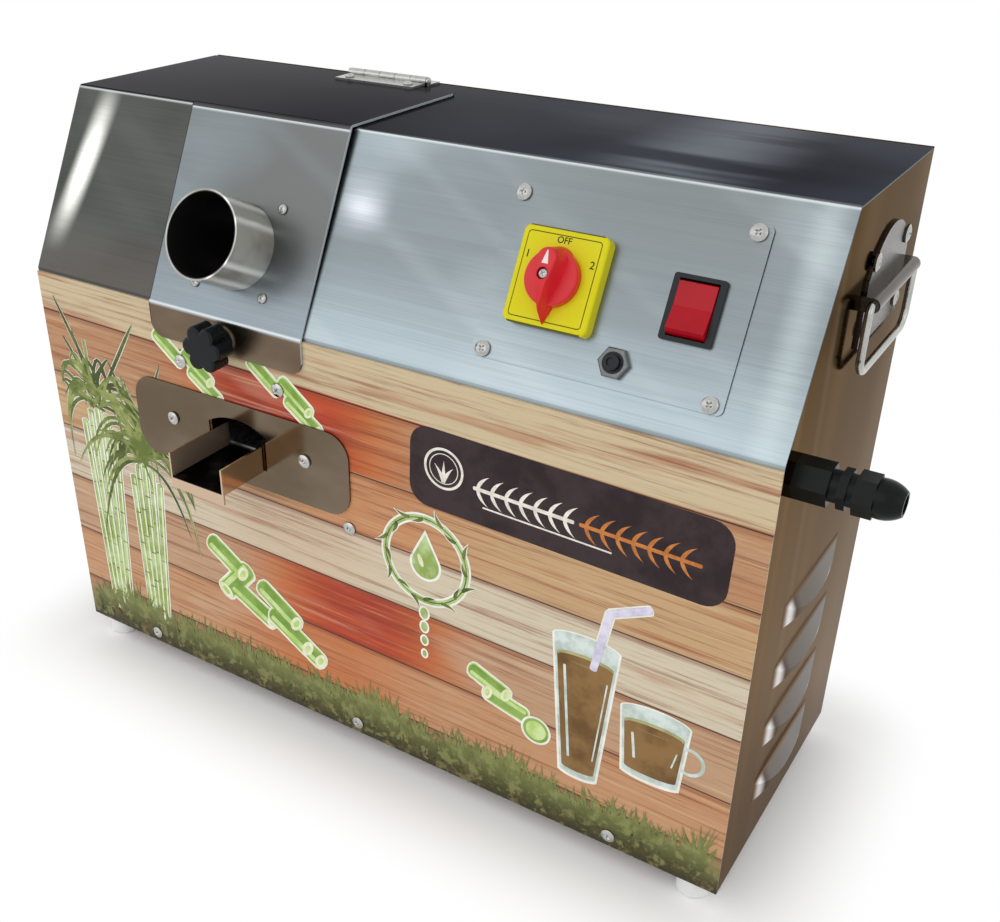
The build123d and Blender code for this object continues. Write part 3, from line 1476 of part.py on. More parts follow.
def trash_plate():
    """Turner plate between the lower rollers, curved under the top roller on a flat stem."""
    near = top_roller_radius + trash_reach_gap
    far = near + trash_thickness
    half = math.radians(trash_half_angle_deg)
    inner = [(near * math.sin(a), -near * math.cos(a)) for a in (-half, 0, half)]
    outer = [(far * math.sin(a), -far * math.cos(a)) for a in (half, 0, -half)]
    face = make_face(
        ThreePointArc(*inner) + Line(inner[-1], outer[0]) + ThreePointArc(*outer) + Line(outer[-1], inner[0])
    )
    blade = Pos(mill_left_x, roller_centre_y, top_roller_z) * extrude(
        Plane.YZ * face, amount=mill_right_x - mill_left_x, dir=(1, 0, 0))
    stem = trash_stem_width / 2
    return blade + box(mill_left_x, mill_right_x, roller_centre_y - stem, roller_centre_y + stem,
                       trash_stem_z, top_roller_z - far + trash_thickness / 2)


def bagasse_chute():
    """Sheet slide that carries the pressed cane from the rear nip out of the back."""
    end_y = rear_y + bagasse_reach
    rise = (bagasse_outlet_z - bagasse_floor_z) / (rear_y - bagasse_floor_y)
    line = [(bagasse_floor_y, bagasse_floor_z), (end_y, bagasse_floor_z + rise * (end_y - bagasse_floor_y))]
    floor = band(line, 0, bagasse_sheet, mill_left_x, mill_right_x)
    for start in (mill_left_x, mill_right_x - bagasse_sheet):
        floor += band(line, -bagasse_wall_height, bagasse_sheet, start, start + bagasse_sheet)
    return floor


nodes = {
    "base_plate": base_plate(),
    "left_side_panel": side_panel(left),
    "right_side_panel": side_panel(right),
    "front_panel": front_panel(),
    "rear_panel": rear_panel(),
    "main_cover": main_cover(),
    "left_cover": left_cover(),
    "hatch_cover": hatch_cover(),
    "feed_tube": feed_tube(),
    "feed_tube_screws": feed_tube_screws(),
    "hinge_rear_leaf": hinge_rear_leaf(),
    "hinge_front_leaf": hinge_front_leaf(),
    "hinge_pin": hinge_pin(),
    "hinge_rear_screws": hinge_rear_screws(),
    "hinge_front_screws": hinge_front_screws(),
    "clamp_knob": clamp_knob(),
    "clamp_stud": clamp_stud(),
    "knob_washer": knob_washer(),
    "chute_plate": chute_plate(),
    "juice_chute": juice_chute(),
    "juice_tray": juice_tray(),
    "control_plate": control_plate(),
    "panel_screws": panel_screws(),
    "selector_plate": selector_plate(),
    "selector_body": selector_body(),
    "selector_handle": selector_handle(),
    "selector_handle_screw": selector_handle_screw(),
    "rocker_bezel": rocker_bezel(),
    "rocker_button": rocker_button(),
    "breaker_body": breaker_body(),
    "breaker_nut": breaker_nut(),
    "breaker_button": breaker_button(),
    "gland_body": gland_body(),
    "gland_locknut": gland_locknut(),
    "gland_dome_nut": gland_dome_nut(),
    "gland_seal": gland_seal(),
    "handle_brackets": handle_brackets(),
    "handle_bolts": handle_bolts(),
    "left_bail": bail(left),
    "right_bail": bail(right),
    "feet": feet(),
    "foot_screws": foot_screws(),
    "mill_frame_left": mill_frame(mill_left_x - mill_plate, left),
    "mill_frame_right": mill_frame(mill_right_x, right),
    "mill_tie_bars": mill_tie_bars(),
    "mill_bushings": mill_bushings(),
    "top_roller": roller(top_roller_radius, top_shaft_radius, roller_centre_y, top_roller_z,
                         gear_left_x - gear_hub_length, gearbox_left_x - gear_hub_length),
    "front_roller": roller(lower_roller_radius, lower_shaft_radius, front_roller_y, lower_roller_z,
                           gear_left_x - gear_hub_length, drive_left_x - gear_run_gap),
    "rear_roller": roller(lower_roller_radius, lower_shaft_radius, rear_roller_y, lower_roller_z,
                          gear_left_x - gear_hub_length, drive_left_x - gear_run_gap),
    "top_gear": top_gear(),
    "front_gear": front_gear(),
    "rear_gear": rear_gear(),
    "drive_gear": drive_gear(),
    "motor_pinion": motor_pinion(),
    "gearbox": gearbox(),
    "motor": motor(),
    "motor_stand": motor_stand(),
    "capacitor": capacitor(),
    "trash_plate": trash_plate(),
    "bagasse_chute": bagasse_chute(),
}

os.makedirs("parts", exist_ok=True)
for name, piece in nodes.items():
    if isinstance(piece, list):
        piece = Compound(children=[solid for item in piece for solid in item.solids()])
    export_step(piece, f"parts/{name}.step")
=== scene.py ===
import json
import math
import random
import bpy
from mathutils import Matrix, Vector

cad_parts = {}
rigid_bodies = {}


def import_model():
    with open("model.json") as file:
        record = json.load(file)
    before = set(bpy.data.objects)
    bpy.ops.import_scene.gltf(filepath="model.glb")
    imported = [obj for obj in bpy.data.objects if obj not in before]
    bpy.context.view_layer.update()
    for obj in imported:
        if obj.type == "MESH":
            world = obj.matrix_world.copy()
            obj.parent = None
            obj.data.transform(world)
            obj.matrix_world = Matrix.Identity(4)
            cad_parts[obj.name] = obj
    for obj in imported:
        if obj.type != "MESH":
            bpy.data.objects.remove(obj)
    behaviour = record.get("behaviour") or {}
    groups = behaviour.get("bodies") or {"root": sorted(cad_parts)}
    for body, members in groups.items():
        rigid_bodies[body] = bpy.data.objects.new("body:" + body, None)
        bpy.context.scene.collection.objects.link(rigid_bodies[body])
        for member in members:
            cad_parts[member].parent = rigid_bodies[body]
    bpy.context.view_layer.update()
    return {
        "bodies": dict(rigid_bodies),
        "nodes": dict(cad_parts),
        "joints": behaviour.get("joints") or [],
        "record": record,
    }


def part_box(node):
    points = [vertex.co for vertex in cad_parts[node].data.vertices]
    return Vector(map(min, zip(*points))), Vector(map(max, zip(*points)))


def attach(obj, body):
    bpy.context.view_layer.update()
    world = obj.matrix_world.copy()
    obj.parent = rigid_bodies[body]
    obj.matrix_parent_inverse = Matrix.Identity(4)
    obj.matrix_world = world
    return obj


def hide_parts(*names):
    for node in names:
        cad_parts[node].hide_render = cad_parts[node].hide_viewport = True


bl_info = {
    "name": "Sugarcane juicer",
    "version": (1, 0, 0),
    "blender": (4, 5, 0),
    "location": "3D View > Sidebar > Juicer",
    "description": "Dresses the packed sugarcane juicer with its finishes, screws, print and stage",
    "category": "Object",
}

from functools import partial

import bmesh
import bpy
from bpy.props import FloatProperty, FloatVectorProperty, IntProperty, PointerProperty
from mathutils import Matrix, Vector

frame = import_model()

# Places read from the frame, in metres
cover_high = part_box("main_cover")[1]
hatch_low, hatch_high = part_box("hatch_cover")
panel_low, panel_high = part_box("front_panel")
side_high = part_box("right_side_panel")[1]
top_z = cover_high.z
fold_z = panel_high.z
front_y = panel_low.y
ground_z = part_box("feet")[0].z
millimetre = 0.001
joints = {joint["name"]: joint for joint in frame["joints"]}
mounts = {mount["name"]: mount for mount in frame["record"]["mounts"]}
selector_centre = Vector(joints["selector_turn"]["pos_m"])
slope_normal = Vector(joints["selector_turn"]["axis"]).normalized()
slope_up = Vector((0, slope_normal.z, -slope_normal.y))
tube_centre = Vector(mounts["feed_tube_bore"]["pos_m"])
tube_axis = Vector(mounts["feed_tube_bore"]["axis"]).normalized()
tube_bore = mounts["feed_tube_bore"]["dims"]["r_mm"] * millimetre
to_front = Vector((0, -1, 0))
to_rear = Vector((0, 1, 0))
upward = Vector((0, 0, 1))
to_right = Vector((1, 0, 0))


class Signal:
    """A shader value that takes part in Python arithmetic; each operation adds its node."""

    def __init__(self, graph, socket):
        self.graph = graph
        self.socket = socket

    def math(self, operation, *others):
        if self.socket.type == "VECTOR":
            return self.vector_math(operation, *others)
        sockets = dict(enumerate((self, *others)))
        return self.graph.node("ShaderNodeMath", {"operation": operation}, sockets)

    def vector_math(self, operation, *others):
        sockets = dict(enumerate((self, *others)))
        output = "Value" if operation in {"LENGTH", "DOT_PRODUCT"} else "Vector"
        return self.graph.node("ShaderNodeVectorMath", {"operation": operation}, sockets, output)

    def __add__(self, other):
        return self.math("ADD", other)

    __radd__ = __add__

    def __sub__(self, other):
        return self.math("SUBTRACT", other)

    def __rsub__(self, other):
        return self * -1 + other

    def __mul__(self, other):
        return self.math("MULTIPLY", other)

    __rmul__ = __mul__

    def __gt__(self, other):
        return self.math("GREATER_THAN", other)

    def __abs__(self):
        return self.math("ABSOLUTE")

    def least(self, other):
        return self.math("MINIMUM", other)

    def most(self, other):
        return self.math("MAXIMUM", other)

    def sine(self):
        return self.math("SINE")

    def smooth(self, low, high):
        """Rise smoothly from 0 at low to 1 at high."""
        return self.graph.node(
            "ShaderNodeMapRange",
            {"interpolation_type": "SMOOTHSTEP"},
            {"Value": self, "From Min": low, "From Max": high},
        )

    def near(self, value, reach):
        """Return 1 at a value and 0 further from it than a reach."""
        return 1 - abs(self - value).smooth(0.0, reach)


class Graph:
    """A node tree with one method that adds any node."""

    def __init__(self, tree):
        self.tree = tree

    def node(self, kind, settings=None, sockets=None, output=0):
        made = self.tree.nodes.new(kind)
        for name, value in (settings or {}).items():
            if name == "stops":
                self.set_stops(made.color_ramp, value)
            elif name == "steps":
                made.color_ramp.interpolation = value
            else:
                setattr(made, name, value)
        for name, value in (sockets or {}).items():
            self.feed(made.inputs[name], value)
        return Signal(self, made.outputs[output])

    def set_stops(self, ramp, stops):
        while len(ramp.elements) < len(stops):
            ramp.elements.new(1)
        for element, (place, color) in zip(ramp.elements, stops):
            element.position = place
            element.color = (*color, 1)

    def feed(self, socket, value):
        if isinstance(value, Signal):
            self.tree.links.new(value.socket, socket)
        elif socket.type == "VECTOR" and isinstance(value, (int, float)):
            socket.default_value = (value,) * 3
        elif socket.type == "RGBA":
            socket.default_value = (*value[:3], 1)
        else:
            socket.default_value = value

    def seen(self):
        """Return 1 for what the camera sees, also through a mirror or glass."""
        output = partial(self.node, "ShaderNodeLightPath", None, None)
        mirrored = output("Is Glossy Ray").most(output("Is Transmission Ray"))
        return output("Is Camera Ray").most(mirrored)


class Finish(Graph):
    """A material on the plain shader."""

    def __init__(self, name, **constants):
        self.material = bpy.data.materials.new(name)
        self.material.use_nodes = True
        super().__init__(self.material.node_tree)
        self.shader = self.tree.nodes["Principled BSDF"]
        for socket, value in constants.items():
            self.set(socket.replace("_", " ").title().replace("Ior", "IOR"), value)
        self.place = self.node("ShaderNodeTexCoord", output="Object")
        apart = self.node("ShaderNodeSeparateXYZ", sockets={"Vector": self.place}, output="X")
        outputs = apart.socket.node.outputs
        self.x, self.y, self.z = (Signal(self, outputs[axis]) for axis in "XYZ")

    def set(self, name, value):
        self.feed(self.shader.inputs[name], value)

    def mix(self, factor, first, second):
        """Blend two colours; a tuple is a colour of 0 to 255, as seen on a screen."""
        first, second = (srgb(*tone) if isinstance(tone, tuple) else tone for tone in (first, second))
        sockets = {0: factor, 6: first, 7: second}
        return self.node("ShaderNodeMix", {"data_type": "RGBA"}, sockets, 2)

    def stretched(self, across, away, up):
        """Return the place with each axis scaled, for streaks and grain."""
        return self.place * (across, away, up)

    def noise(self, place, detail=2.0, roughness=0.5, scale=1.0):
        sockets = {"Vector": place, "Scale": scale, "Detail": detail, "Roughness": roughness}
        return self.node("ShaderNodeTexNoise", None, sockets, "Fac")

    def lines(self, place, detail):
        """Return noise that changes along one number only."""
        sockets = {"W": place, "Detail": detail}
        return self.node("ShaderNodeTexNoise", {"noise_dimensions": "1D"}, sockets, "Fac")

    def bump(self, height, distance, strength=1.0):
        sockets = {"Height": height, "Distance": distance, "Strength": strength}
        return self.node("ShaderNodeBump", None, sockets, "Normal")


def srgb(red, green, blue):
    """Turn a colour of 0 to 255, as seen on a screen, into the shader's scale."""
    shares = (value / 255 for value in (red, green, blue))
    return tuple(s / 12.92 if s < 0.04045 else ((s + 0.055) / 1.055) ** 2.4 for s in shares)


def dress(finish, *nodes):
    """Give frame nodes a finish in their material slots."""
    for name in nodes:
        slots = frame["nodes"][name].data.materials
        slots.clear()
        slots.append(finish.material)


# Finishes of the cabinet


def main_reflections(finish, up, tone):
    """Painted reflections: a light spot beside the hatch, then a darker field and pale bands, and a pale
    strip by the right edge.
    """
    # Painted highlight: a light glare spot reflected beside the hatch.
    glare_spot = finish.x.near(hatch_high.x + 0.016, 0.022) * up.near(0.68, 0.20)
    tone = finish.mix(glare_spot * finish.smear.smooth(0.30, 0.60), tone, (226, 230, 238))
    # Painted reflection: a darker field over the right of the slope.
    shade = finish.x.smooth(0.02, 0.16) * up.smooth(0.35, 1.0) * (1 - finish.x.smooth(0.195, 0.222))
    tone = finish.mix(shade * 0.6, tone, (108, 112, 109))
    # Painted reflection: pale bands towards the top of the slope.
    pale = finish.x.near(-0.035, 0.06) * up.smooth(0.45, 1.0)
    tone = finish.mix(pale * 0.5, tone, (158, 172, 178))
    # Painted highlight: a pale strip along the right edge of the slope.
    return finish.mix(finish.x.near(0.229, 0.012) * 0.35, tone, (188, 200, 200))


def left_reflections(finish, up, tone):
    """Painted white reflection streak that leans over the left slope."""
    lean = finish.x + 0.221 - (up - 0.5) * 0.030 + (up * up) * 0.006
    # Painted highlight: a white streak of reflected light across the left slope.
    highlight_streak = lean.near(0.0, 0.012) * up.near(0.60, 0.50) * 1.3
    return finish.mix(highlight_streak.least(1.0), tone, (255, 255, 248))


def top_reflections(finish):
    """Painted reflections on the dark mirror of the top: painted dark, paler to the right, with soft light
    and dark patches and one glare.
    """
    reflection_patches = finish.noise(finish.stretched(9.0, 13.0, 9.0), detail=0.6)
    # Painted reflection: the mirror top is painted dark, and paler to the right.
    rightward = finish.x.smooth(-0.10, 0.16)
    tone = finish.mix(rightward, (60, 59, 59), (102, 106, 112))
    lit = rightward * 0.5 + 0.12
    # Painted reflections: soft light patches, then dark patches.
    tone = finish.mix(finish.smear.smooth(0.46, 0.76) * lit, tone, (108, 111, 118))
    tone = finish.mix(reflection_patches.smooth(0.48, 0.78) * lit, tone, (130, 130, 134))
    tone = finish.mix(reflection_patches.smooth(0.50, 0.28) * 0.5, tone, (60, 53, 50))
    # Painted highlight: a glare of reflected light towards the right.
    glare = finish.x.near(0.150, 0.055) * finish.smear.smooth(0.34, 0.58)
    return finish.mix(glare * 0.9, tone, (168, 174, 182))


def satin_sheet(name, low_tone, high_tone, reflection_tone, reflections=None):
    """Brushed sheet of the slope, with the dark polished top beyond the fold; the slope's gradient, clouds
    and bands and the glints along the folds are painted reflections.
    """
    finish = Finish(name, metallic=1.0, specular_tint=(0.30, 0.30, 0.31, 1))
    fine = finish.noise(finish.stretched(4.0, 1500.0, 1500.0), detail=3.0, roughness=0.6)
    broad = finish.noise(finish.stretched(9.0, 160.0, 160.0), detail=2.0)
    grain = fine * 0.65 + broad * 0.35
    # This noise sets the roughness, and it also shapes painted reflection patches.
    finish.smear = finish.noise(finish.stretched(5.0, 40.0, 40.0), detail=2.0)
    cloud = finish.noise(finish.stretched(7.0, 9.0, 9.0), detail=2.0)
    reflection_band = finish.lines(finish.x * 2.8 + finish.z * 6.0, 1.0)
    up = (finish.z - fold_z) * (1 / (top_z - fold_z))
    # Painted reflection: lighter at the foot of the slope and darker towards the top, with pale clouds and
    # slanting bands.
    tone = finish.mix(up.smooth(0.02, 0.50), low_tone, high_tone)
    tone = finish.mix(cloud.smooth(0.50, 0.70) * 0.4, tone, reflection_tone)
    tone = finish.mix(reflection_band.smooth(0.50, 0.72) * 0.18, tone, reflection_tone)
    if reflections:
        tone = reflections(finish, up, tone)
    tone = finish.mix(grain.smooth(0.40, 0.62) * 0.16, tone, (100, 106, 110))
    # Painted highlight along the two folds.
    fold = finish.z.near(top_z - 0.0009, 0.0013).most(finish.z.near(fold_z - 0.0002, 0.0011))
    tone = finish.mix(fold * 0.6, tone, (214, 220, 222))
    level = finish.z.smooth(top_z - 0.0009, top_z - 0.0004)
    finish.tone = finish.mix(level, tone, top_reflections(finish))
    finish.set("Base Color", finish.tone)
    finish.set("Roughness", (0.25 + grain * 0.16) * (1 - level) + level * (0.07 + finish.smear * 0.12))
    finish.set("Normal", finish.bump(grain * (1 - level), 0.00003))
    return finish


def polished_sheet():
    """Mirror sheet of the sides and the back with bright louvres; its warm tones from the room around it, its
    patches, band, strips and the louvres' spots are painted reflections.
    """
    finish = Finish("polished_sheet", metallic=1.0, specular_tint=(0.46, 0.40, 0.34, 1))
    smear = finish.noise(finish.stretched(4.0, 14.0, 3.0), detail=0.6)
    rub = finish.noise(finish.stretched(40.0, 300.0, 40.0), detail=3.0)
    # Painted reflections: warmer and lighter low down, with light and dark patches, a dark band and a pale
    # strip near the front.
    tone = finish.mix(finish.z.smooth(0.02, 0.30), (126, 98, 74), (84, 66, 50))
    tone = finish.mix(smear.smooth(0.45, 0.75) * 0.5, tone, (150, 128, 106))
    tone = finish.mix(smear.smooth(0.50, 0.25) * 0.5, tone, (62, 46, 36))
    tone = finish.mix(finish.z.near(0.318, 0.026) * 0.85, tone, (40, 31, 28))
    tone = finish.mix(finish.y.near(front_y + 0.013, 0.007) * 0.5, tone, (150, 118, 92))
    proud = abs(finish.x).smooth(side_high.x - 0.0057, side_high.x - 0.0042)
    # Painted reflections on the proud louvres: paler to the rear, with a dark ring around a white highlight
    # near their front ends.
    bright = finish.mix(finish.y.smooth(-0.04, 0.06), (128, 124, 122), (164, 166, 168))
    bright = finish.mix(smear.smooth(0.50, 0.30) * 0.5, bright, (96, 88, 82))
    bright = finish.mix(finish.y.near(-0.044, 0.017), bright, (70, 60, 58))
    bright = finish.mix(finish.y.near(-0.043, 0.008), bright, (250, 250, 250))
    tone = finish.mix(proud, tone, bright)
    # Painted highlight along the front edge.
    edge = (1 - finish.y.smooth(front_y + 0.0004, front_y + 0.0014)) * 0.7
    tone = finish.mix(edge, tone, (196, 190, 184))
    finish.set("Base Color", tone)
    finish.set("Roughness", 0.09 + rub.smooth(0.5, 0.9) * 0.12)
    finish.set("Normal", finish.bump(smear, 0.0006, 0.5))
    return finish


def outlet_steel():
    """Polished plate round the juice outlet."""
    finish = Finish("outlet_steel", metallic=1.0)
    smear = finish.noise(finish.stretched(14.0, 14.0, 24.0), detail=3.0)
    # The brown tones are a painted reflection of the warm room in the polished plate.
    tone = finish.mix(smear.smooth(0.3, 0.7), (104, 90, 72), (126, 112, 96))
    rub = finish.noise(finish.place, detail=3.0, scale=900.0)
    finish.set("Base Color", tone)
    finish.set("Roughness", 0.10 + rub * 0.10)
    finish.set("Normal", finish.bump(smear, 0.0003, 0.4))
    return finish


def hatch_sheet():
    """Sheet of the hatch: satin slope and top as the covers, with their painted reflections, over a polished
    lip in a painted brown reflection, with a painted shade line at its left edge and painted highlights on
    its right edge and lip fold.
    """
    finish = satin_sheet("hatch_sheet", (138, 148, 155), (104, 106, 105), (142, 155, 163))
    # Painted reflection: the polished lip's brown tones.
    lip = 1 - finish.z.smooth(fold_z - 0.0010, fold_z + 0.0008)
    smear = finish.noise(finish.stretched(14.0, 14.0, 30.0), detail=2.0)
    lip_reflection = finish.mix(smear.smooth(0.35, 0.65), (108, 92, 77), (128, 112, 95))
    tone = finish.mix(lip, finish.tone, lip_reflection)
    # Painted shade: a dark line along the left gap.
    gap = 1 - finish.x.smooth(hatch_low.x + 0.0002, hatch_low.x + 0.0009)
    tone = finish.mix(gap * 0.9, tone, (24, 24, 26))
    # Painted glint on the right edge face.
    edge = finish.x.smooth(hatch_high.x - 0.0004, hatch_high.x - 0.0001)
    tone = finish.mix(edge * 0.8, tone, (176, 184, 188))
    finish.set("Metallic", 1 - edge * 0.9)
    # Painted highlight along the lower fold.
    rim = finish.z.near(fold_z + 0.0012, 0.0012)
    finish.set("Base Color", finish.mix(rim * 0.7, tone, (216, 222, 224)))
    return finish


def channel_steel():
    """Open spout: polished outside, in a warm painted reflection of the room, and near black inside as
    painted shade, with a mottle.
    """
    finish = Finish("channel_steel", specular_ior_level=0.02)
    chute_low, chute_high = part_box("juice_chute")
    wall = 0.0013
    across = abs(finish.x - (chute_low.x + chute_high.x) / 2)
    half = (chute_high.x - chute_low.x) / 2
    floor = chute_low.z + 0.0062
    inner = (1 - across.smooth(half - wall, half - wall + 0.0002)) * finish.z.smooth(floor, floor + 0.0006)
    smear = finish.noise(finish.place, detail=4.0, scale=60.0)
    # Painted shade: near black inside the channel, with a mottle.
    inner_shade = finish.mix(smear.smooth(0.50, 0.78), (1, 1, 1), (30, 30, 28))
    # The warm outside tone is a painted reflection of the room.
    finish.set("Base Color", finish.mix(inner, (206, 180, 154), inner_shade))
    finish.set("Metallic", 1 - inner * 0.9)
    finish.set("Roughness", 0.14 + inner * (0.2 + smear * 0.25))
    finish.set("Normal", finish.bump(smear * inner, 0.0005, 0.5))
    return finish


def tube_steel():
    """Polished tube with turning marks and painted highlight lines, near black inside as painted shade of the
    bore, with a mottle.
    """
    finish = Finish("tube_steel")
    away = finish.place - tuple(tube_centre)
    along = away.vector_math("DOT_PRODUCT", tuple(tube_axis))
    out = finish.node("ShaderNodeVectorMath", {"operation": "SCALE"}, {0: tuple(tube_axis), "Scale": along})
    radius = (away - out).vector_math("LENGTH")
    inner = 1 - radius.smooth(tube_bore + 0.0003, tube_bore + 0.0007)
    smear = finish.noise(finish.stretched(30.0, 30.0, 30.0), detail=3.0)
    marks = finish.lines(along * 900.0, 3.0)
    tone = finish.mix(smear.smooth(0.38, 0.62), (140, 136, 128), (184, 183, 176))
    aside = finish.x - tube_centre.x
    # Painted highlights: two bright lines down the tube.
    for middle, reach in ((0.0215, 0.0016), (0.0125, 0.0040)):
        tone = finish.mix(aside.near(middle, reach) * 0.9, tone, (252, 252, 248))
    tone = finish.mix(marks.smooth(0.5, 0.8) * 0.3, tone, (96, 88, 76))
    # Painted shade of the bore: near black inside, with a mottle.
    inner_shade = finish.mix(smear, (4, 5, 5), (22, 22, 20))
    finish.set("Base Color", finish.mix(inner, tone, inner_shade))
    finish.set("Metallic", 0.42 - inner * 0.12)
    finish.set("Roughness", 0.12 + marks * 0.12 + inner * 0.3)
    finish.set("Normal", finish.bump(marks * 0.5 + smear * 0.3, 0.00008, 0.6))
    return finish


def plated_steel(name="plated_steel", dark=(136, 136, 134), light=(212, 212, 208)):
    """Zinc plate of screws, hinge, handles and nuts."""
    finish = Finish(name, metallic=1.0)
    mottle = finish.noise(finish.place, detail=4.0, scale=640.0)
    broad = finish.noise(finish.place, detail=2.0, scale=60.0)
    tone = finish.mix(mottle * 0.5 + broad * 0.5, dark, light)
    finish.set("Base Color", tone)
    finish.set("Roughness", 0.14 + mottle * 0.18)
    finish.set("Normal", finish.bump(mottle, 0.00004, 0.5))
    return finish


def moulded(name, dark, light, rough, level=0.2):
    """Plastic or rubber with a fine moulded texture and a little unevenness."""
    finish = Finish(name, specular_ior_level=level)
    texture = finish.noise(finish.place, detail=2.0, scale=2600.0)
    cloud = finish.noise(finish.place, detail=3.0, scale=70.0)
    finish.set("Base Color", finish.mix(cloud, dark, light))
    finish.set("Roughness", rough + cloud * 0.10)
    finish.set("Normal", finish.bump(texture, 0.00003, 0.6))
    return finish


# Heights of the printed planks' joints, the tone of each plank and how red its middle is
plank_joints = (0.028, 0.068, 0.1096, 0.148, 0.187, 0.2296)
plank_tones = (
    (170, 132, 100), (192, 146, 108), (186, 150, 118), (206, 194, 170), (192, 158, 118), (180, 136, 100),
    (198, 180, 146),
)
red_shares = (0.30, 0.50, 0.86, 0.20, 0.36, 1.0, 0.05)


def printed_front():
    """Printed front: planks that turn from pale wood to red in the middle, over grass."""
    finish = Finish("printed_front", specular_ior_level=0.2)
    height = finish.z + finish.x * 0.017 - 0.002
    starts = (0.0, *(joint / fold_z for joint in plank_joints))
    tones = [(start, srgb(*tone)) for start, tone in zip(starts, plank_tones)]
    reds = [(start, (share,) * 3) for start, share in zip(starts, red_shares)]
    level = {"Fac": height * (1 / fold_z)}
    plank_tone = finish.node("ShaderNodeValToRGB", {"stops": tones, "steps": "CONSTANT"}, level, "Color")
    reddish = finish.node("ShaderNodeValToRGB", {"stops": reds, "steps": "CONSTANT"}, level, "Color")
    row = sum(((height > joint) for joint in plank_joints[1:]), height > plank_joints[0])
    offset = (row * 12.9898).sine() * 43.7

    def grained(across, up, detail, roughness):
        place = {"X": finish.x * across + offset, "Y": height * up, "Z": offset}
        return finish.noise(finish.node("ShaderNodeCombineXYZ", None, place, "Vector"), detail, roughness)

    fine = grained(16.0, 900.0, 5.0, 0.7)
    grain = grained(9.0, 420.0, 6.0, 0.66)
    vein = grained(6.0, 110.0, 4.0, 0.6)
    patch = finish.noise(finish.stretched(8.0, 1.0, 26.0), detail=2.0)
    middle = 1 - abs(finish.x + 0.016 + (row * 78.233).sine() * 0.03).smooth(0.01, 0.125)
    strength = (middle * reddish * (0.8 + patch * 0.5)).least(1.0)
    deep = finish.mix(vein.smooth(0.38, 0.62), (186, 74, 40), (150, 34, 32))
    orange = finish.mix(strength.smooth(0.02, 0.75), plank_tone, (190, 108, 58))
    wood = finish.mix(strength.smooth(0.48, 1.0), orange, deep)
    wood = finish.mix(patch.smooth(0.55, 0.7) * 0.30, wood, (206, 190, 162))
    wood = finish.mix(vein.smooth(0.55, 0.68) * 0.45, wood, (162, 88, 50))
    wood = finish.mix(grain.smooth(0.50, 0.66) * 0.62, wood, (132, 66, 38))
    wood = finish.mix(fine.smooth(0.55, 0.70) * 0.45, wood, (96, 46, 28))
    wood = finish.mix(grain.smooth(0.44, 0.30) * 0.35, wood, (222, 200, 166))
    gaps = [height.near(joint, 0.00075) for joint in plank_joints]
    shades = [height.near(joint - 0.0012, 0.0030) for joint in plank_joints]
    gap, shade = gaps[0], shades[0]
    for more, dim in zip(gaps[1:], shades[1:]):
        gap, shade = gap.most(more), shade.most(dim)
    wood = finish.mix(shade * 0.45, wood, (126, 58, 34))
    wood = finish.mix(gap, wood, (34, 16, 12))
    rise = finish.noise(finish.stretched(20.0, 0.0, 0.0), detail=4.0, roughness=0.7)
    ground = finish.z + rise * 0.018 - 0.009
    soil = 1 - ground.smooth(0.012, 0.034)
    blot = finish.noise(finish.place, detail=5.0, roughness=0.7, scale=120.0)
    green = finish.mix(ground.smooth(0.0, 0.022), (58, 52, 30), (122, 120, 72))
    green = finish.mix(blot.smooth(0.5, 0.62) * 0.5, green, (148, 136, 92))
    finish.set("Base Color", finish.mix(soil, wood, green))
    finish.set("Roughness", 0.32 + grain * 0.08)
    finish.set("Normal", finish.bump(grain, 0.00002, 0.4))
    return finish


def mottled(name, dark, light, rough, scale=120.0, metallic=1.0, stretch=(1.0, 1.0, 1.0)):
    """Machined, cast or painted metal with an uneven tone."""
    finish = Finish(name, metallic=metallic)
    cloud = finish.noise(finish.stretched(*(scale * share for share in stretch)), detail=4.0)
    finish.set("Base Color", finish.mix(cloud, dark, light))
    finish.set("Roughness", rough + cloud * 0.16)
    finish.set("Normal", finish.bump(cloud, 0.0002, 0.4))
    return finish


def yellow_plate(colors):
    """Yellow moulded plate, darker in its groove."""
    finish = Finish("selector_yellow", specular_ior_level=0.15)
    rise = finish.place.vector_math("DOT_PRODUCT", tuple(slope_normal))
    sunk = 1 - rise.smooth(plate_top() - 0.00034, plate_top() - 0.00026)
    middle = 1 - abs(finish.x - selector_centre.x).smooth(0.0195, 0.0200)
    cloud = finish.noise(finish.place, detail=3.0, scale=90.0)
    shine = finish.mix(cloud.smooth(0.3, 0.7) * 0.35, colors.yellow, (214, 206, 48))
    finish.set("Base Color", finish.mix(sunk * middle * 0.9, shine, (60, 60, 14)))
    finish.set("Roughness", 0.26 + cloud * 0.10)
    return finish


def ink(name, dark, light, scale=90.0):
    """Printed colour with a soft change of tone."""
    finish = Finish(name, specular_ior_level=0.15)
    cloud = finish.noise(finish.place, detail=4.0, roughness=0.6, scale=scale)
    finish.set("Base Color", finish.mix(cloud.smooth(0.36, 0.64), dark, light))
    finish.set("Roughness", 0.32 + cloud * 0.08)
    return finish


def grass_ink():
    """Printed grass, dark at its foot and pale at its tips."""
    finish = Finish("grass_ink", specular_ior_level=0.15)
    cloud = finish.noise(finish.place, detail=4.0, roughness=0.65, scale=110.0)
    tone = finish.mix(finish.z.smooth(0.004, 0.030), (66, 62, 36), (124, 130, 76))
    tone = finish.mix(cloud.smooth(0.48, 0.62) * 0.6, tone, (146, 148, 92))
    tone = finish.mix(cloud.smooth(0.46, 0.36) * 0.5, tone, (92, 98, 50))
    finish.set("Base Color", tone)
    finish.set("Roughness", 0.34)
    return finish


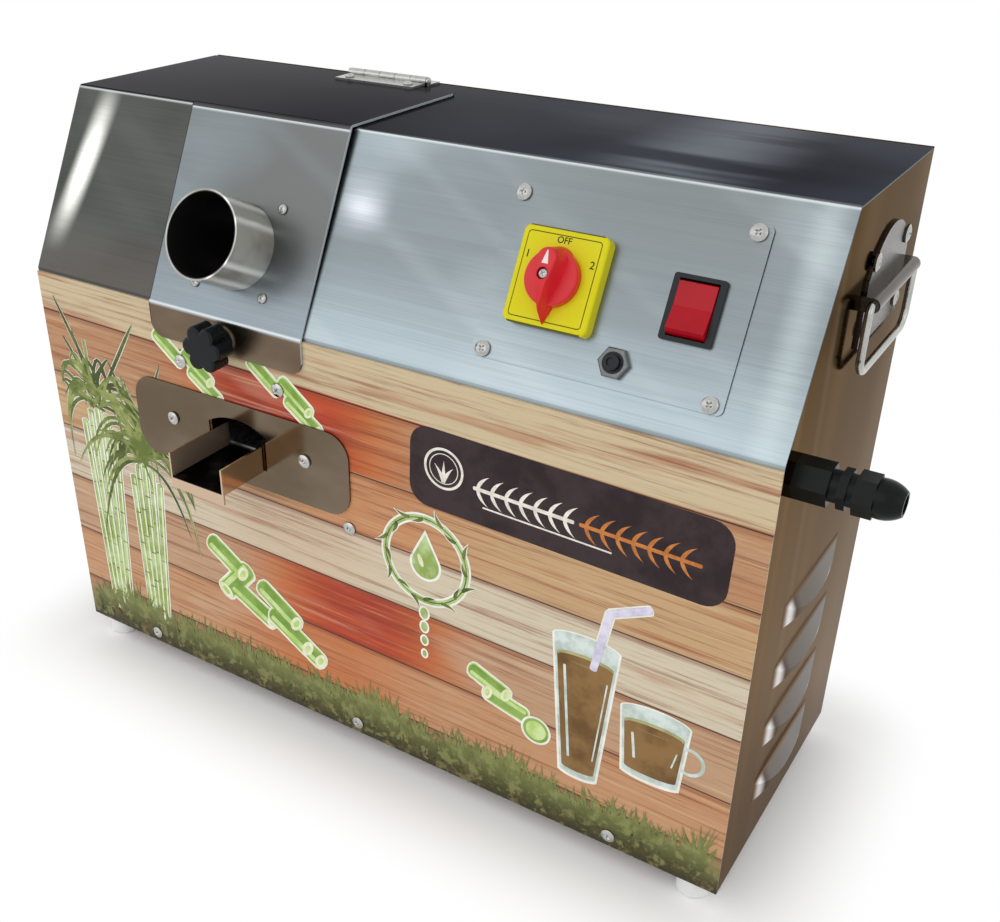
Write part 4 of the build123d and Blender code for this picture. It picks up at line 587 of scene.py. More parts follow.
def plate_top():
    """Height of the selector plate's face along the slope's normal."""
    return max(corner.co.dot(slope_normal) for corner in frame["nodes"]["selector_plate"].data.vertices)


# Shapes of the print, in millimetres across and up the front, with their limits
print_reach = 237
leaf_reach = 233
leaf_top = 249


def blade(root, tip, width, droop=0.0, steps=7):
    """Outline of a tapered leaf whose tip sags to one side."""
    root, tip = Vector(root), Vector(tip)
    along = tip - root
    side = Vector((-along.y, along.x)).normalized()
    edges = []
    for step in range(steps + 1):
        share = step / steps
        middle = root + along * share + side * droop * share * (1 - share) * 4
        half = width / 2 * (1 - share ** 1.6) * (0.55 + 0.9 * share * (1 - share))
        edges.append((middle + side * half, middle - side * half))
    return [left for left, _ in edges] + [right for _, right in reversed(edges)]


def frond(root, peak, tip, width, steps=10):
    """Outline of a long leaf that arches over from its root."""
    root, peak, tip = Vector(root), Vector(peak), Vector(tip)
    edges = []
    for step in range(steps + 1):
        share = step / steps
        middle = root * (1 - share) ** 2 + peak * 2 * share * (1 - share) + tip * share ** 2
        along = (peak - root) * (1 - share) + (tip - peak) * share
        side = Vector((-along.y, along.x)).normalized()
        half = width / 2 * (0.45 + 1.1 * share) * (1 - share) ** 0.8
        edges.append((middle + side * half, middle - side * half))
    return [left for left, _ in edges] + [right for _, right in reversed(edges)]


def bar(start, end, width, end_steps=5, grow=0.0):
    """Outline of a straight piece with round ends."""
    start, end = Vector(start), Vector(end)
    along = (end - start).normalized()
    side = Vector((-along.y, along.x))
    half = width / 2 + grow
    outline = []
    for middle, sign in ((end, 1), (start, -1)):
        for step in range(end_steps + 1):
            turn = math.pi * step / end_steps
            outline.append(middle + (side * math.cos(turn) + along * math.sin(turn) * 0.6) * half * sign)
    return outline


def turned(point, turn_deg):
    """Turn a point about the origin."""
    across, up = point
    turn = math.radians(turn_deg)
    cosine, sine = math.cos(turn), math.sin(turn)
    return Vector((across * cosine - up * sine, across * sine + up * cosine))


def disc(centre, across, up, turn_deg=0.0, steps=28):
    """Outline of an ellipse."""
    angles = [2 * math.pi * step / steps for step in range(steps)]
    points = [(across * math.cos(angle), up * math.sin(angle)) for angle in angles]
    return [Vector(centre) + turned(point, turn_deg) for point in points]


def rounded(centre, width, height, radius, turn_deg=0.0, steps=6):
    """Outline of a rectangle with round corners."""
    outline = []
    for quarter, (side, up) in enumerate(((1, 1), (-1, 1), (-1, -1), (1, -1))):
        middle = Vector((side * (width / 2 - radius), up * (height / 2 - radius)))
        for step in range(steps + 1):
            angle = math.pi / 2 * (quarter + step / steps)
            point = middle + Vector((math.cos(angle), math.sin(angle))) * radius
            outline.append(Vector(centre) + turned(point, turn_deg))
    return outline


def ring(centre, radius, width, steps=40):
    """Outlines of a flat ring, as short pieces."""
    pieces = []
    for step in range(steps):
        angles = [2 * math.pi * (step + more) / steps for more in (0, 1)]
        ways = [Vector((math.cos(angle), math.sin(angle))) for angle in angles]
        inner, outer = ([Vector(centre) + way * reach for way in ways]
                        for reach in (radius - width / 2, radius + width / 2))
        pieces.append([*outer, inner[1], inner[0]])
    return pieces


def add_object(name, data):
    """Put an object with its data into the scene."""
    held = bpy.data.objects.new(name, data)
    bpy.context.scene.collection.objects.link(held)
    return held


def mesh_of(name, shape):
    """Turn an edited shape into a mesh."""
    mesh = bpy.data.meshes.new(name)
    shape.to_mesh(mesh)
    shape.free()
    return mesh


def join_rings(shape, low_ring, high_ring):
    """Close two rings of corners into a solid."""
    following = [*range(1, len(low_ring)), 0]
    for first, second in enumerate(following):
        shape.faces.new((low_ring[first], low_ring[second], high_ring[second], high_ring[first]))
    shape.faces.new(low_ring)
    shape.faces.new(high_ring[::-1])


def put_piece(name, mesh, finish, body="cabinet"):
    """Add a mesh as a piece that rides on a body."""
    held = add_object(name, mesh)
    mesh.materials.append(finish.material)
    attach(held, body)
    return held


# Steps by which the print's layers, shapes and corners lie over each other, in millimetres, and
# the number of shapes after which their steps begin anew
layer_step = 0.06
shape_step = 0.0008
corner_step = 0.00007
shape_cycle = 50


def print_on_front(name, outlines, level, finish):
    """Lay flat shapes on the front panel; a higher level, and a later shape, lies over the rest."""
    shapes = bmesh.new()
    for number, outline in enumerate(outlines):
        proud = level * layer_step + number % shape_cycle * shape_step
        last = len(outline) - 1
        corners = []
        for step, point in enumerate(outline):
            y = front_y - (proud + min(step, last - step) * corner_step) * millimetre
            corners.append(shapes.verts.new((point.x * millimetre, y, point.y * millimetre)))
        face = shapes.faces.new(corners)
        face.normal_update()
        if face.normal.y > 0:
            face.normal_flip()
    bmesh.ops.triangulate(shapes, faces=shapes.faces)
    return put_piece(name, mesh_of(name, shapes), finish)


def cane(start, end, width, joint_gap, chance):
    """Return a cane's body, its joints and its highlight as outlines."""
    start, end = Vector(start), Vector(end)
    along = (end - start).normalized()
    side = Vector((-along.y, along.x))
    length = (end - start).length
    knots = []
    place = joint_gap * chance.uniform(0.4, 0.9)
    while place < length - 2:
        middle = start + along * place
        knots.append(bar(middle - side * width * 0.42, middle + side * width * 0.42, 0.8))
        place += joint_gap * chance.uniform(0.85, 1.15)
    shine = side * width * 0.2
    glow = bar(start + along * 1.5 - shine, end - along * 1.5 - shine, width * 0.3)
    return bar(start, end, width), knots, glow


# Operators


class JUICER_OT_finishes(bpy.types.Operator):
    """Give every frame node its finish"""

    bl_idname = "juicer.finishes"
    bl_label = "Finishes"

    def execute(self, context):
        colors = context.scene.juicer_colors
        # The main, left and hatch sheets are one brushed steel; their different tones are painted
        # reflections.
        main = satin_sheet(
            "main_sheet", (158, 171, 177), (124, 133, 137), (188, 198, 201), main_reflections
        )
        left = satin_sheet("left_sheet", (88, 84, 80), (60, 63, 60), (98, 99, 94), left_reflections)
        dress(main, "main_cover", "control_plate")
        dress(left, "left_cover")
        dress(hatch_sheet(), "hatch_cover")
        dress(polished_sheet(), "left_side_panel", "right_side_panel", "rear_panel", "base_plate")
        dress(outlet_steel(), "chute_plate")
        dress(channel_steel(), "juice_chute")
        dress(tube_steel(), "feed_tube")
        dress(
            plated_steel(), "hinge_rear_leaf", "hinge_front_leaf", "hinge_pin", "clamp_stud", "knob_washer",
            "foot_screws", "left_bail", "right_bail", "panel_screws", "feed_tube_screws",
            "hinge_rear_screws", "hinge_front_screws", "handle_bolts", "selector_handle_screw",
        )
        dress(plated_steel("dark_steel", (52, 54, 56), (128, 130, 130)), "breaker_nut")
        # The handle brackets' dark brown tones are a painted reflection of the side panel.
        dress(plated_steel("bracket_steel", (44, 41, 36), (108, 102, 94)), "handle_brackets")
        dress(moulded("knob_black", (6, 9, 11), (14, 19, 21), 0.22), "clamp_knob")
        dress(
            moulded("switch_black", (14, 16, 20), (28, 31, 37), 0.30, level=0.25),
            "rocker_bezel", "breaker_button", "breaker_body", "selector_body",
        )
        dress(
            moulded("gland_black", (7, 9, 9), (18, 21, 21), 0.26, level=0.14),
            "gland_body", "gland_locknut", "gland_dome_nut",
        )
        dress(moulded("seal_rubber", (12, 12, 12), (24, 24, 24), 0.7), "gland_seal")
        dress(moulded("foot_white", (214, 216, 214), (238, 238, 236), 0.45), "feet")
        dress(moulded("handle_red", colors.red, (212, 40, 50), 0.26, level=0.35), "selector_handle")
        dress(moulded("rocker_red", (146, 3, 16), colors.rocker, 0.10, level=0.22), "rocker_button")
        dress(yellow_plate(colors), "selector_plate")
        dress(printed_front(), "front_panel")
        dress(
            mottled("mill_iron", (66, 68, 70), (108, 110, 112), 0.36, 160.0, 0.85),
            "mill_frame_left", "mill_frame_right", "mill_tie_bars", "top_gear", "front_gear", "rear_gear",
            "drive_gear", "motor_pinion",
        )
        dress(
            mottled("roller_steel", (140, 142, 144), (188, 190, 192), 0.20, 60.0, 1.0, (5.0, 1.0, 1.0)),
            "top_roller", "front_roller", "rear_roller", "juice_tray", "trash_plate", "bagasse_chute",
            "motor_stand",
        )
        dress(mottled("bush_bronze", (150, 110, 54), (190, 150, 88), 0.28), "mill_bushings")
        dress(mottled("gearbox_alloy", (120, 122, 124), (160, 162, 164), 0.42), "gearbox", "capacitor")
        dress(mottled("motor_paint", (34, 58, 92), (44, 72, 110), 0.34, 80.0, 0.0), "motor")
        return {"FINISHED"}


# Shares of a screw head's radius that make its cross recess
arm_share = 0.56
slot_share = 0.15
above_share = 0.2
depth_share = 0.45
taper_share = 0.55


class JUICER_OT_screws(bpy.types.Operator):
    """Cut the cross recess into each screw head"""

    bl_idname = "juicer.screws"
    bl_label = "Screws"

    def execute(self, context):
        chance = random.Random(7)
        for node in (
            "panel_screws", "feed_tube_screws", "hinge_rear_screws", "hinge_front_screws", "handle_bolts",
            "selector_handle_screw",
        ):
            self.recess(node, chance)
        return {"FINISHED"}

    def recess(self, node, chance):
        source = frame["nodes"][node]
        whole = bmesh.new()
        whole.from_mesh(source.data)
        bmesh.ops.remove_doubles(whole, verts=whole.verts, dist=0.0000005)
        cutters = bmesh.new()
        for corners in self.islands(whole):
            axis, top, radius = self.head(corners)
            self.add_cross(cutters, axis, top, radius, chance.uniform(0, math.pi / 2))
        bmesh.ops.triangulate(cutters, faces=cutters.faces)
        held = self.as_object(node + "_cut", whole)
        cutter = self.as_object(node + "_cutter", cutters)
        cut = held.modifiers.new("recess", "BOOLEAN")
        cut.operation = "DIFFERENCE"
        cut.solver = "EXACT"
        cut.object = cutter
        reading = bpy.context.evaluated_depsgraph_get()
        mesh = bpy.data.meshes.new_from_object(held.evaluated_get(reading))
        for spare in (held, cutter):
            bpy.data.objects.remove(spare)
        if not mesh.polygons:
            raise RuntimeError(node + " came out empty")
        mesh.name = node + "_recessed"
        mesh.shade_smooth()
        mesh.set_sharp_from_angle(angle=math.radians(32))
        mesh.materials.clear()
        piece = add_object(node + "_recessed", mesh)
        mesh.materials.append(source.data.materials[0])
        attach(piece, self.body_name(source))
        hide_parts(node)

    def body_name(self, source):
        return next(name for name, empty in frame["bodies"].items() if empty == source.parent)

    def islands(self, whole):
        """Give the corners of each separate screw, always in the same order."""
        seen = set()
        for first in whole.verts:
            if first in seen:
                continue
            seen.add(first)
            island = [first]
            for corner in island:
                for edge in corner.link_edges:
                    other = edge.other_vert(corner)
                    if other not in seen:
                        seen.add(other)
                        island.append(other)
            yield [corner.co.copy() for corner in island]

    def head(self, corners):
        """Find a screw's outward axis, the top of its head and the head's radius."""
        middle = sum(corners, Vector()) / len(corners)
        best = None
        sides = (to_front, slope_normal, to_rear, upward, to_right, to_right * -1, tube_axis, tube_axis * -1)
        for axis in sides:
            heights = [(corner - middle).dot(axis) for corner in corners]
            spans = [(corner - middle - axis * height).length for corner, height in zip(corners, heights)]
            radius = max(spans)
            wide = [height for height, span in zip(heights, spans) if span > radius * 0.9]
            outward = sum(wide) / len(wide) > (max(heights) + min(heights)) / 2
            if outward and (best is None or radius < best[0] - 0.00001):
                best = (radius, axis, middle + axis * max(heights))
        radius, axis, top = best
        return axis, top, radius

    def add_cross(self, cutters, axis, top, radius, turn):
        across = Matrix.Rotation(turn, 3, axis) @ axis.orthogonal().normalized()
        away = axis.cross(across)
        arm, half = radius * arm_share, radius * slot_share
        outline = [(arm, half), (half, half), (half, arm), (-half, arm), (-half, half), (-arm, half),
                   (-arm, -half), (-half, -half), (-half, -arm), (half, -arm), (half, -half), (arm, -half)]
        rings = []
        for level, share in ((radius * above_share, 1.0), (-radius * depth_share, taper_share)):
            rings.append([cutters.verts.new(top + axis * level + (across * u + away * v) * share)
                          for u, v in outline])
        join_rings(cutters, *rings)

    def as_object(self, name, shape):
        bmesh.ops.recalc_face_normals(shape, faces=shape.faces)
        return add_object(name, mesh_of(name, shape))


class JUICER_OT_marks(bpy.types.Operator):
    """Print the switch marks and the pointer on the handle"""

    bl_idname = "juicer.marks"
    bl_label = "Switch marks"

    def execute(self, context):
        black = moulded("mark_black", (16, 16, 14), (30, 30, 26), 0.4)
        white = moulded("mark_white", (214, 208, 206), (238, 232, 230), 0.4)
        marks = (
            ("mark_one", "1", -17.2, 9.4, 5.2),
            ("mark_off", "OFF", 0.0, 18.4, 4.4),
            ("mark_two", "2", 17.2, 9.4, 5.2),
        )
        for name, text, across, up, size in marks:
            self.write(name, text, across, up, size, black)
        self.point(white)
        return {"FINISHED"}

    def write(self, name, text, across, up, size, finish):
        curve = bpy.data.curves.new(name, "FONT")
        curve.body = text
        curve.size = size * millimetre
        curve.extrude = 0.02 * millimetre
        curve.offset = 0.05 * millimetre
        curve.align_x = "CENTER"
        curve.align_y = "CENTER"
        held = add_object(name, curve)
        curve.materials.append(finish.material)
        place = self.on_face(plate_top() + 0.02 * millimetre, across, up)
        turn = Matrix((to_right, slope_up, slope_normal)).transposed()
        held.matrix_world = Matrix.Translation(place) @ turn.to_4x4()
        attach(held, "cabinet")

    def on_face(self, height, across, up):
        base = selector_centre + slope_normal * (height - selector_centre.dot(slope_normal))
        return base + to_right * across * millimetre + slope_up * up * millimetre

    def point(self, finish):
        node = frame["nodes"]["selector_handle"]
        top = max(corner.co.dot(slope_normal) for corner in node.data.vertices)
        flat = [(-1.7, 4.6), (1.7, 4.6), (0.25, 10.9), (-0.25, 10.9)]
        shape = bmesh.new()
        rings = [[shape.verts.new(self.on_face(top + height * millimetre, across, up)) for across, up in flat]
                 for height in (-0.2, 0.03)]
        join_rings(shape, *rings)
        bmesh.ops.recalc_face_normals(shape, faces=shape.faces)
        put_piece("handle_pointer", mesh_of("handle_pointer", shape), finish, "selector_handle")


class JUICER_OT_print(bpy.types.Operator):
    """Lay the printed canes, leaves, glasses, dark field and grass on the front"""

    bl_idname = "juicer.print"
    bl_label = "Front print"

    def execute(self, context):
        sizes = context.scene.juicer_print
        colors = context.scene.juicer_colors
        chance = random.Random(sizes.seed)
        self.white = ink("white_ink", (226, 226, 214), (240, 240, 230))
        self.green = ink("green_ink", (142, 164, 84), (186, 206, 150), 60.0)
        self.olive = ink("olive_ink", (70, 86, 40), (118, 128, 66), 120.0)
        self.leaf = ink("leaf_ink", (98, 112, 50), (150, 158, 92), 70.0)
        self.pale = ink("pale_ink", (216, 220, 176), (236, 238, 214), 150.0)
        self.dark_leaf = ink("dark_leaf_ink", (66, 78, 36), (104, 116, 58), 60.0)
        self.bright = ink("bright_ink", (116, 152, 64), (144, 176, 92), 60.0)
        self.lime = ink("lime_ink", (172, 204, 108), (206, 226, 160), 80.0)
        self.clump(sizes, chance)
        self.bundle()
        self.wreath(chance)
        self.dark_field(colors)
        self.glasses(colors)
        self.slices()
        self.grass(sizes, chance)
        return {"FINISHED"}

    def lay_canes(self, name, canes, chance):
        bodies, knots, glows, wide, edges = [], [], [], [], []
        for start, end, width, gap in canes:
            body, marks, glow = cane(start, end, width, gap, chance)
            bodies.append(body)
            knots += marks
            glows.append(glow)
            wide.append(bar(start, end, width, grow=1.1))
            edges.append(bar(start, end, width, grow=0.2))
        print_on_front(name + "_halo", wide, 1, self.white)
        print_on_front(name + "_edges", edges, 2, self.olive)
        print_on_front(name + "_bodies", bodies, 2.5, self.green)
        print_on_front(name + "_joints", knots, 3, self.olive)
        print_on_front(name + "_glow", glows, 3.3, self.pale)

    def clump(self, sizes, chance):
        soil = ink("soil_ink", (92, 40, 30), (136, 66, 44), 90.0)
        print_on_front("soil", [disc((-187, 15), 43, 6, -1)], 1.0, soil)
        right_limit = -124
        canes, fronds, dark, wide = [], [], [], []
        for foot, crown, spread in ((-207, (-203, 186), 7.0), (-171, (-166, 156), 6.0)):
            for number in range(5):
                across = number - 2
                start = (foot + across * 3.4, chance.uniform(14, 17))
                end = (crown[0] + across * spread, crown[1] - abs(across) * 9 - 6)
                canes.append((start, end, 4.4, 22.0))
            for number in range(sizes.leaf_count):
                angle = math.radians(96 + chance.uniform(-118, 118))
                reach = chance.uniform(26, 50)
                root = Vector(crown) + Vector((chance.uniform(-7, 7), chance.uniform(-12, 3)))
                out = Vector((math.cos(angle), math.sin(angle)))
                peak = root + out * reach * 0.8 + Vector((0, reach * 0.35))
                sag = reach * chance.uniform(0.3, 1.5)
                tip = root + Vector((out.x * reach * 1.3, out.y * reach * 0.9 - sag))
                if number % 6 == 0:
                    tip = root + Vector((out.x * reach, abs(out.y) * reach * 1.6))
                for point in (peak, tip):
                    point.x = max(-leaf_reach, min(right_limit, point.x))
                    point.y = min(leaf_top, point.y)
                (fronds if number % 2 else dark).append(frond(root, peak, tip, 4.4))
                wide.append(frond(root, peak, tip, 6.2))
        print_on_front("clump_leaf_halo", wide, 1.2, self.white)
        self.lay_canes("clump", canes, chance)
        print_on_front("clump_dark_leaves", dark, 4, self.dark_leaf)
        print_on_front("clump_leaves", fronds, 5, self.leaf)

    def stout(self, name, canes, width, level):
        """Short thick cut canes, each with its pale end."""
        layers = {"halo": [], "rim": [], "body": [], "shade": [], "end": [], "core": []}
        for start, end in canes:
            start, end = Vector(start), Vector(end)
            along = (end - start).normalized()
            turn = math.degrees(math.atan2(along.y, along.x))
            side = Vector((-along.y, along.x)) * width * 0.24
            layers["halo"].append(bar(start, end, width + 3.6))
            layers["rim"].append(bar(start, end, width + 1.2))
            layers["body"].append(bar(start, end, width - 0.8))
            layers["shade"].append(bar(start - side, end - side, width * 0.30))
            layers["end"].append(disc(end, width * 0.30, width * 0.52, turn))
            layers["core"].append(disc(end, width * 0.15, width * 0.28, turn))
        finishes = (self.white, self.lime, self.bright, self.lime, self.pale, self.lime)
        for step, ((layer, outlines), finish) in enumerate(zip(layers.items(), finishes)):
            print_on_front(name + "_" + layer, outlines, level + step * 0.25, finish)

    def bundle(self):
        groups = (
            [((-112, 104), (-88, 88)), ((-84, 92), (-104, 70)), ((-96, 76), (-66, 60))],
            [((-72, 84), (-46, 66)), ((-64, 66), (-38, 50)), ((-50, 58), (-28, 44))],
        )
        for number, canes in enumerate(groups):
            self.stout("bundle_%d" % number, canes, 12.5, 1.4 + number * 1.8)
        for middle in (-128.0, -54.0):
            small = [((middle - 12, 240), (middle + 6, 226)), ((middle + 10, 232), (middle + 28, 218)),
                     ((middle + 14, 222), (middle + 34, 208))]
            self.stout("short_%d" % -middle, small, 8.0, 1.4)

    def wreath(self, chance):
        centre, radius = Vector((52, 148)), 27.0
        print_on_front("wreath_halo", ring(centre, radius, 6.0), 1, self.white)
        print_on_front("wreath_ring", ring(centre, radius, 3.4), 2, self.green)
        print_on_front("wreath_line", ring(centre, radius, 0.7), 2.4, self.olive)
        leaves, wide = [], []
        for step in range(16):
            angle = 2 * math.pi * step / 16 + chance.uniform(-0.06, 0.06)
            out = Vector((math.cos(angle), math.sin(angle)))
            spin = Vector((-out.y, out.x))
            root = centre + out * radius
            side = 1 if step % 2 else -0.55
            end = root + out * 6.0 * side + spin * 8.0
            leaves.append(blade(root, end, 3.6, 0.8))
            wide.append(blade(root, end + (end - root) * 0.12, 5.6, 0.8))
        print_on_front("wreath_leaf_halo", wide, 1.3, self.white)
        print_on_front("wreath_leaves", leaves, 2.8, self.olive)

        def drop(size, half, low, high):
            tip = [centre + Vector(point) for point in ((-half, low), (0, high), (half, low))]
            return [disc(centre - Vector((0, 3)), size, size), tip]

        def drips(grow):
            return [disc((51, 112 - step * 9.5), 2.6 + grow - step * 0.4, 3.8 + grow - step * 0.5)
                    for step in range(4)]

        print_on_front("drop_halo", drop(10.6, 9.7, 1.2, 20), 1.5, self.white)
        print_on_front("drop", drop(9.0, 8.2, 0.8, 17), 2.2, self.green)
        print_on_front("drop_glow", [disc(centre + Vector((-3.2, -1)), 1.6, 4.2, 20)], 3, self.pale)
        print_on_front("drips_halo", drips(1.2), 1.5, self.white)
        print_on_front("drips", drips(0.0), 2.2, self.green)

    def dark_field(self, colors):
        centre, turn = Vector((133, 205.5)), -1.6
        field = ink("field_ink", colors.field, (58, 46, 48), 60.0)
        print_on_front("field", [rounded(centre, 181, 48, 12, turn)], 2, field)
        cream = ink("cream_ink", (214, 208, 196), (236, 232, 222), 200.0)
        orange = ink("orange_ink", (176, 104, 50), (198, 126, 66), 200.0)

        def at(across, up):
            return centre + turned((across, up), turn)

        print_on_front("field_ring", ring(at(-69, 2), 11.6, 1.5) + ring(at(-69, 2), 8.8, 0.5), 3, cream)
        sprig = [blade(at(-69, -6), at(-69 + side * 6, 7 - abs(side) * 3), 3.6, side * 0.8)
                 for side in (-1, 0, 1)]
        print_on_front("field_sprig", sprig, 3, cream)
        stems = [bar(at(-50, -3), at(8, -3), 2.2), bar(at(-44, -13), at(30, -13), 1.0)]
        other = [bar(at(12, -3), at(76, -3), 2.2)]

        def leaves(start):
            roots = [(start + step * 8.5, side) for step in range(7) for side in (-1, 1)]
            return [blade(at(across, -3), at(across + 7, -3 + side * 9), 3.4, side * 1.2)
                    for across, side in roots]

        print_on_front("field_branch", stems + leaves(-48), 3, cream)
        print_on_front("field_second_branch", other + leaves(15), 3, orange)

    def glasses(self, colors):
        juice = ink("juice_ink", (104, 76, 42), colors.juice, 40.0)
        rim = ink("foam_ink", (150, 150, 96), (176, 174, 126), 120.0)
        glass = ink("glass_ink", (176, 190, 180), (214, 224, 220), 90.0)

        def tumbler(name, left, right, low, high, taper, fill):
            middle = (left + right) / 2
            half = (right - left) / 2

            def wall(grow, bottom, top):
                bottom_half = half - taper + grow
                top_half = half + grow
                points = [(middle - bottom_half, bottom), (middle + bottom_half, bottom),
                          (middle + top_half, top), (middle - top_half, top)]
                return [Vector(point) for point in points]

            def level(height):
                return half - taper * (high - height) / (high - low)

            outer = [wall(1.2, low - 3.2, high), disc((middle, high), half + 1.3, 5.2),
                     disc((middle, low - 2.2), half - taper + 1.3, 3.6)]
            sides = [wall(0, low - 1, high), disc((middle, high), half, 4.2),
                     disc((middle, low - 1), half - taper, 2.8)]
            inner = [Vector((middle + side * (level(height) - 1.3), height))
                     for side, height in ((-1, low + 2), (1, low + 2), (1, fill), (-1, fill))]
            foot = disc((middle, low + 2), level(low + 2) - 1.3, 2.2)
            shine = middle - half * 0.62
            left_shine = bar((shine + taper * 0.7, low + 9), (shine, fill - 7), 1.6)
            right_low = (middle + half * 0.7 - taper * 0.6, low + 12)
            right_shine = bar(right_low, (middle + half * 0.72, fill - 10), 0.9)
            print_on_front(name + "_halo", outer, 1, self.white)
            print_on_front(name + "_wall", sides, 2, glass)
            print_on_front(name + "_juice", [inner, foot], 3, juice)
            print_on_front(name + "_foam", [disc((middle, fill), level(fill) - 1.2, 3.4)], 3.5, rim)
            print_on_front(name + "_top", [disc((middle, fill - 0.9), level(fill) - 2.4, 2.3)], 3.8, juice)
            print_on_front(name + "_shine", [left_shine, right_shine], 4, glass)

        tumbler("tall_glass", 134, 172, 44, 132, 8.0, 121)
        tumbler("low_glass", 176, 214, 62, 102, 3.0, 94)
        print_on_front("cup_handle", ring((215.5, 82), 8.0, 2.2), 1.8, glass)
        lilac = ink("straw_ink", (196, 190, 214), (222, 218, 232), 120.0)
        for name, width, height, finish in (("straw_halo", 6.4, 1.2, self.white), ("straw", 4.4, 4.6, lilac)):
            straw = [bar((158, 118), (165, 156), width), bar((165, 156), (186, 166), width)]
            print_on_front(name, straw, height, finish)

    def slices(self):
        self.stout("slice", [((84, 86), (106, 77)), ((118, 68), (94, 74))], 9.5, 1.4)
        print_on_front("round_halo", [disc((126, 61), 9.6, 9.6)], 3.4, self.white)
        print_on_front("round", [disc((126, 61), 8.2, 8.2)], 3.6, self.bright)
        print_on_front("round_inside", [disc((126, 61), 6.4, 6.4)], 3.8, self.lime)

    def grass(self, sizes, chance):
        finish = grass_ink()
        layers = {"grass_back": [], "grass_middle": [], "grass_front": []}
        for number in range(sizes.tuft_count):
            layer = list(layers)[number % 3]
            foot = chance.uniform(-232, 232)
            swell = 0.6 + 0.4 * math.sin(foot * 0.09) * math.sin(foot * 0.031 + 1.0)
            low = (15, 10, 5)[number % 3] + chance.uniform(-2, 3)
            for _ in range(chance.randint(5, 9)):
                angle = math.radians(90 + chance.uniform(-50, 50))
                reach = chance.uniform(9, 27) * (0.62 + swell * 0.6) * sizes.grass_scale
                tip = Vector((foot, low)) + Vector((math.cos(angle) * 0.7, math.sin(angle))) * reach
                tip.x = max(-print_reach, min(print_reach, tip.x))
                root = (foot + chance.uniform(-2, 2), low)
                layers[layer].append(blade(root, tip, chance.uniform(2.2, 4.0), chance.uniform(-1.5, 1.5), 4))
        for step, (name, blades) in enumerate(layers.items()):
            print_on_front(name, blades, 4.0 + step * 0.8, finish)


class JUICER_OT_stage(bpy.types.Operator):
    """Make the pale floor, the soft lamps, the world and the camera"""

    bl_idname = "juicer.stage"
    bl_label = "Stage"

    def execute(self, context):
        stage = context.scene.juicer_stage
        self.make_floor(stage)
        self.make_world(stage)
        self.make_lamps(stage)
        self.make_camera(stage)
        context.scene.view_settings.view_transform = "Standard"
        return {"FINISHED"}

    def make_floor(self, stage):
        reach = stage.floor_reach
        corners = [(-reach, -reach), (reach, -reach), (reach, reach), (-reach, reach)]
        mesh = bpy.data.meshes.new("floor")
        mesh.from_pydata([(x, y, ground_z) for x, y in corners], [], [(0, 1, 2, 3)])
        held = add_object("floor", mesh)
        finish = Finish("floor", roughness=0.9, base_color=stage.floor_color)
        white = finish.node("ShaderNodeEmission", None, {"Color": (1, 1, 1), "Strength": 1.0}, "Emission")
        outside = (abs(finish.place) - (cover_high.x, -front_y, 1.0)).most(0.0)
        clear = finish.seen() * outside.vector_math("LENGTH").smooth(0.0, stage.shadow_reach)
        sockets = {0: clear, 1: Signal(finish, finish.shader.outputs["BSDF"]), 2: white}
        mixed = finish.node("ShaderNodeMixShader", None, sockets, "Shader")
        finish.feed(finish.tree.nodes["Material Output"].inputs["Surface"], mixed)
        mesh.materials.append(finish.material)

    def make_world(self, stage):
        world = bpy.data.worlds.new("studio")
        world.use_nodes = True
        bpy.context.scene.world = world
        sky = Graph(world.node_tree)

        def light(color, strength):
            sockets = {"Color": color, "Strength": strength}
            return sky.node("ShaderNodeBackground", None, sockets, "Background")

        fill = light(stage.fill_color, stage.fill_strength)
        shown = light((1, 1, 1), 1.0)
        mixed = sky.node("ShaderNodeMixShader", None, {0: sky.seen(), 1: fill, 2: shown}, "Shader")
        sky.feed(sky.tree.nodes["World Output"].inputs["Surface"], mixed)

    def make_lamps(self, stage):
        centre = (0.02, -0.05, 0.2)
        self.add_lamp("key_lamp", (-0.5, -1.9, 1.5), centre, (2.4, 1.8), stage.key_power)
        self.add_lamp("right_lamp", (2.0, -0.4, 0.9), centre, (1.6, 1.6), stage.side_power)
        self.add_lamp("left_lamp", (-2.0, -0.9, 1.0), centre, (1.6, 1.6), stage.side_power)

    def add_lamp(self, name, place, target, size, power):
        lamp = bpy.data.lights.new(name, "AREA")
        lamp.shape = "RECTANGLE"
        lamp.size, lamp.size_y = size
        lamp.energy = power
        held = add_object(name, lamp)
        held.location = place
        held.rotation_mode = "QUATERNION"
        held.rotation_quaternion = (Vector(target) - Vector(place)).to_track_quat("-Z", "Y")

    def make_camera(self, stage):
        camera = bpy.data.cameras.new("camera")
        held = add_object("camera", camera)
        camera.sensor_width = 36
        camera.lens = stage.focal_pixels * camera.sensor_width / stage.image_width
        camera.shift_x = 0.5 - stage.centre_pixel_x / stage.image_width
        camera.shift_y = (stage.centre_pixel_y - stage.image_height / 2) / stage.image_width
        camera.clip_start = 0.01
        camera.clip_end = 100
        azimuth = math.radians(stage.camera_azimuth)
        drop = math.radians(stage.camera_elevation)
        level = math.cos(drop)
        forward = Vector((math.sin(azimuth) * level, math.cos(azimuth) * level, -math.sin(drop)))
        held.location = stage.camera_place
        held.rotation_mode = "QUATERNION"
        held.rotation_quaternion = forward.to_track_quat("-Z", "Y")
        bpy.context.scene.camera = held


def color_setting(name, description, default):
    return FloatVectorProperty(name=name, description=description, default=default, size=3, subtype="COLOR",
                               min=0, max=1)


def number_setting(name, description, default, unit="NONE"):
    return FloatProperty(name=name, description=description, default=default, unit=unit)


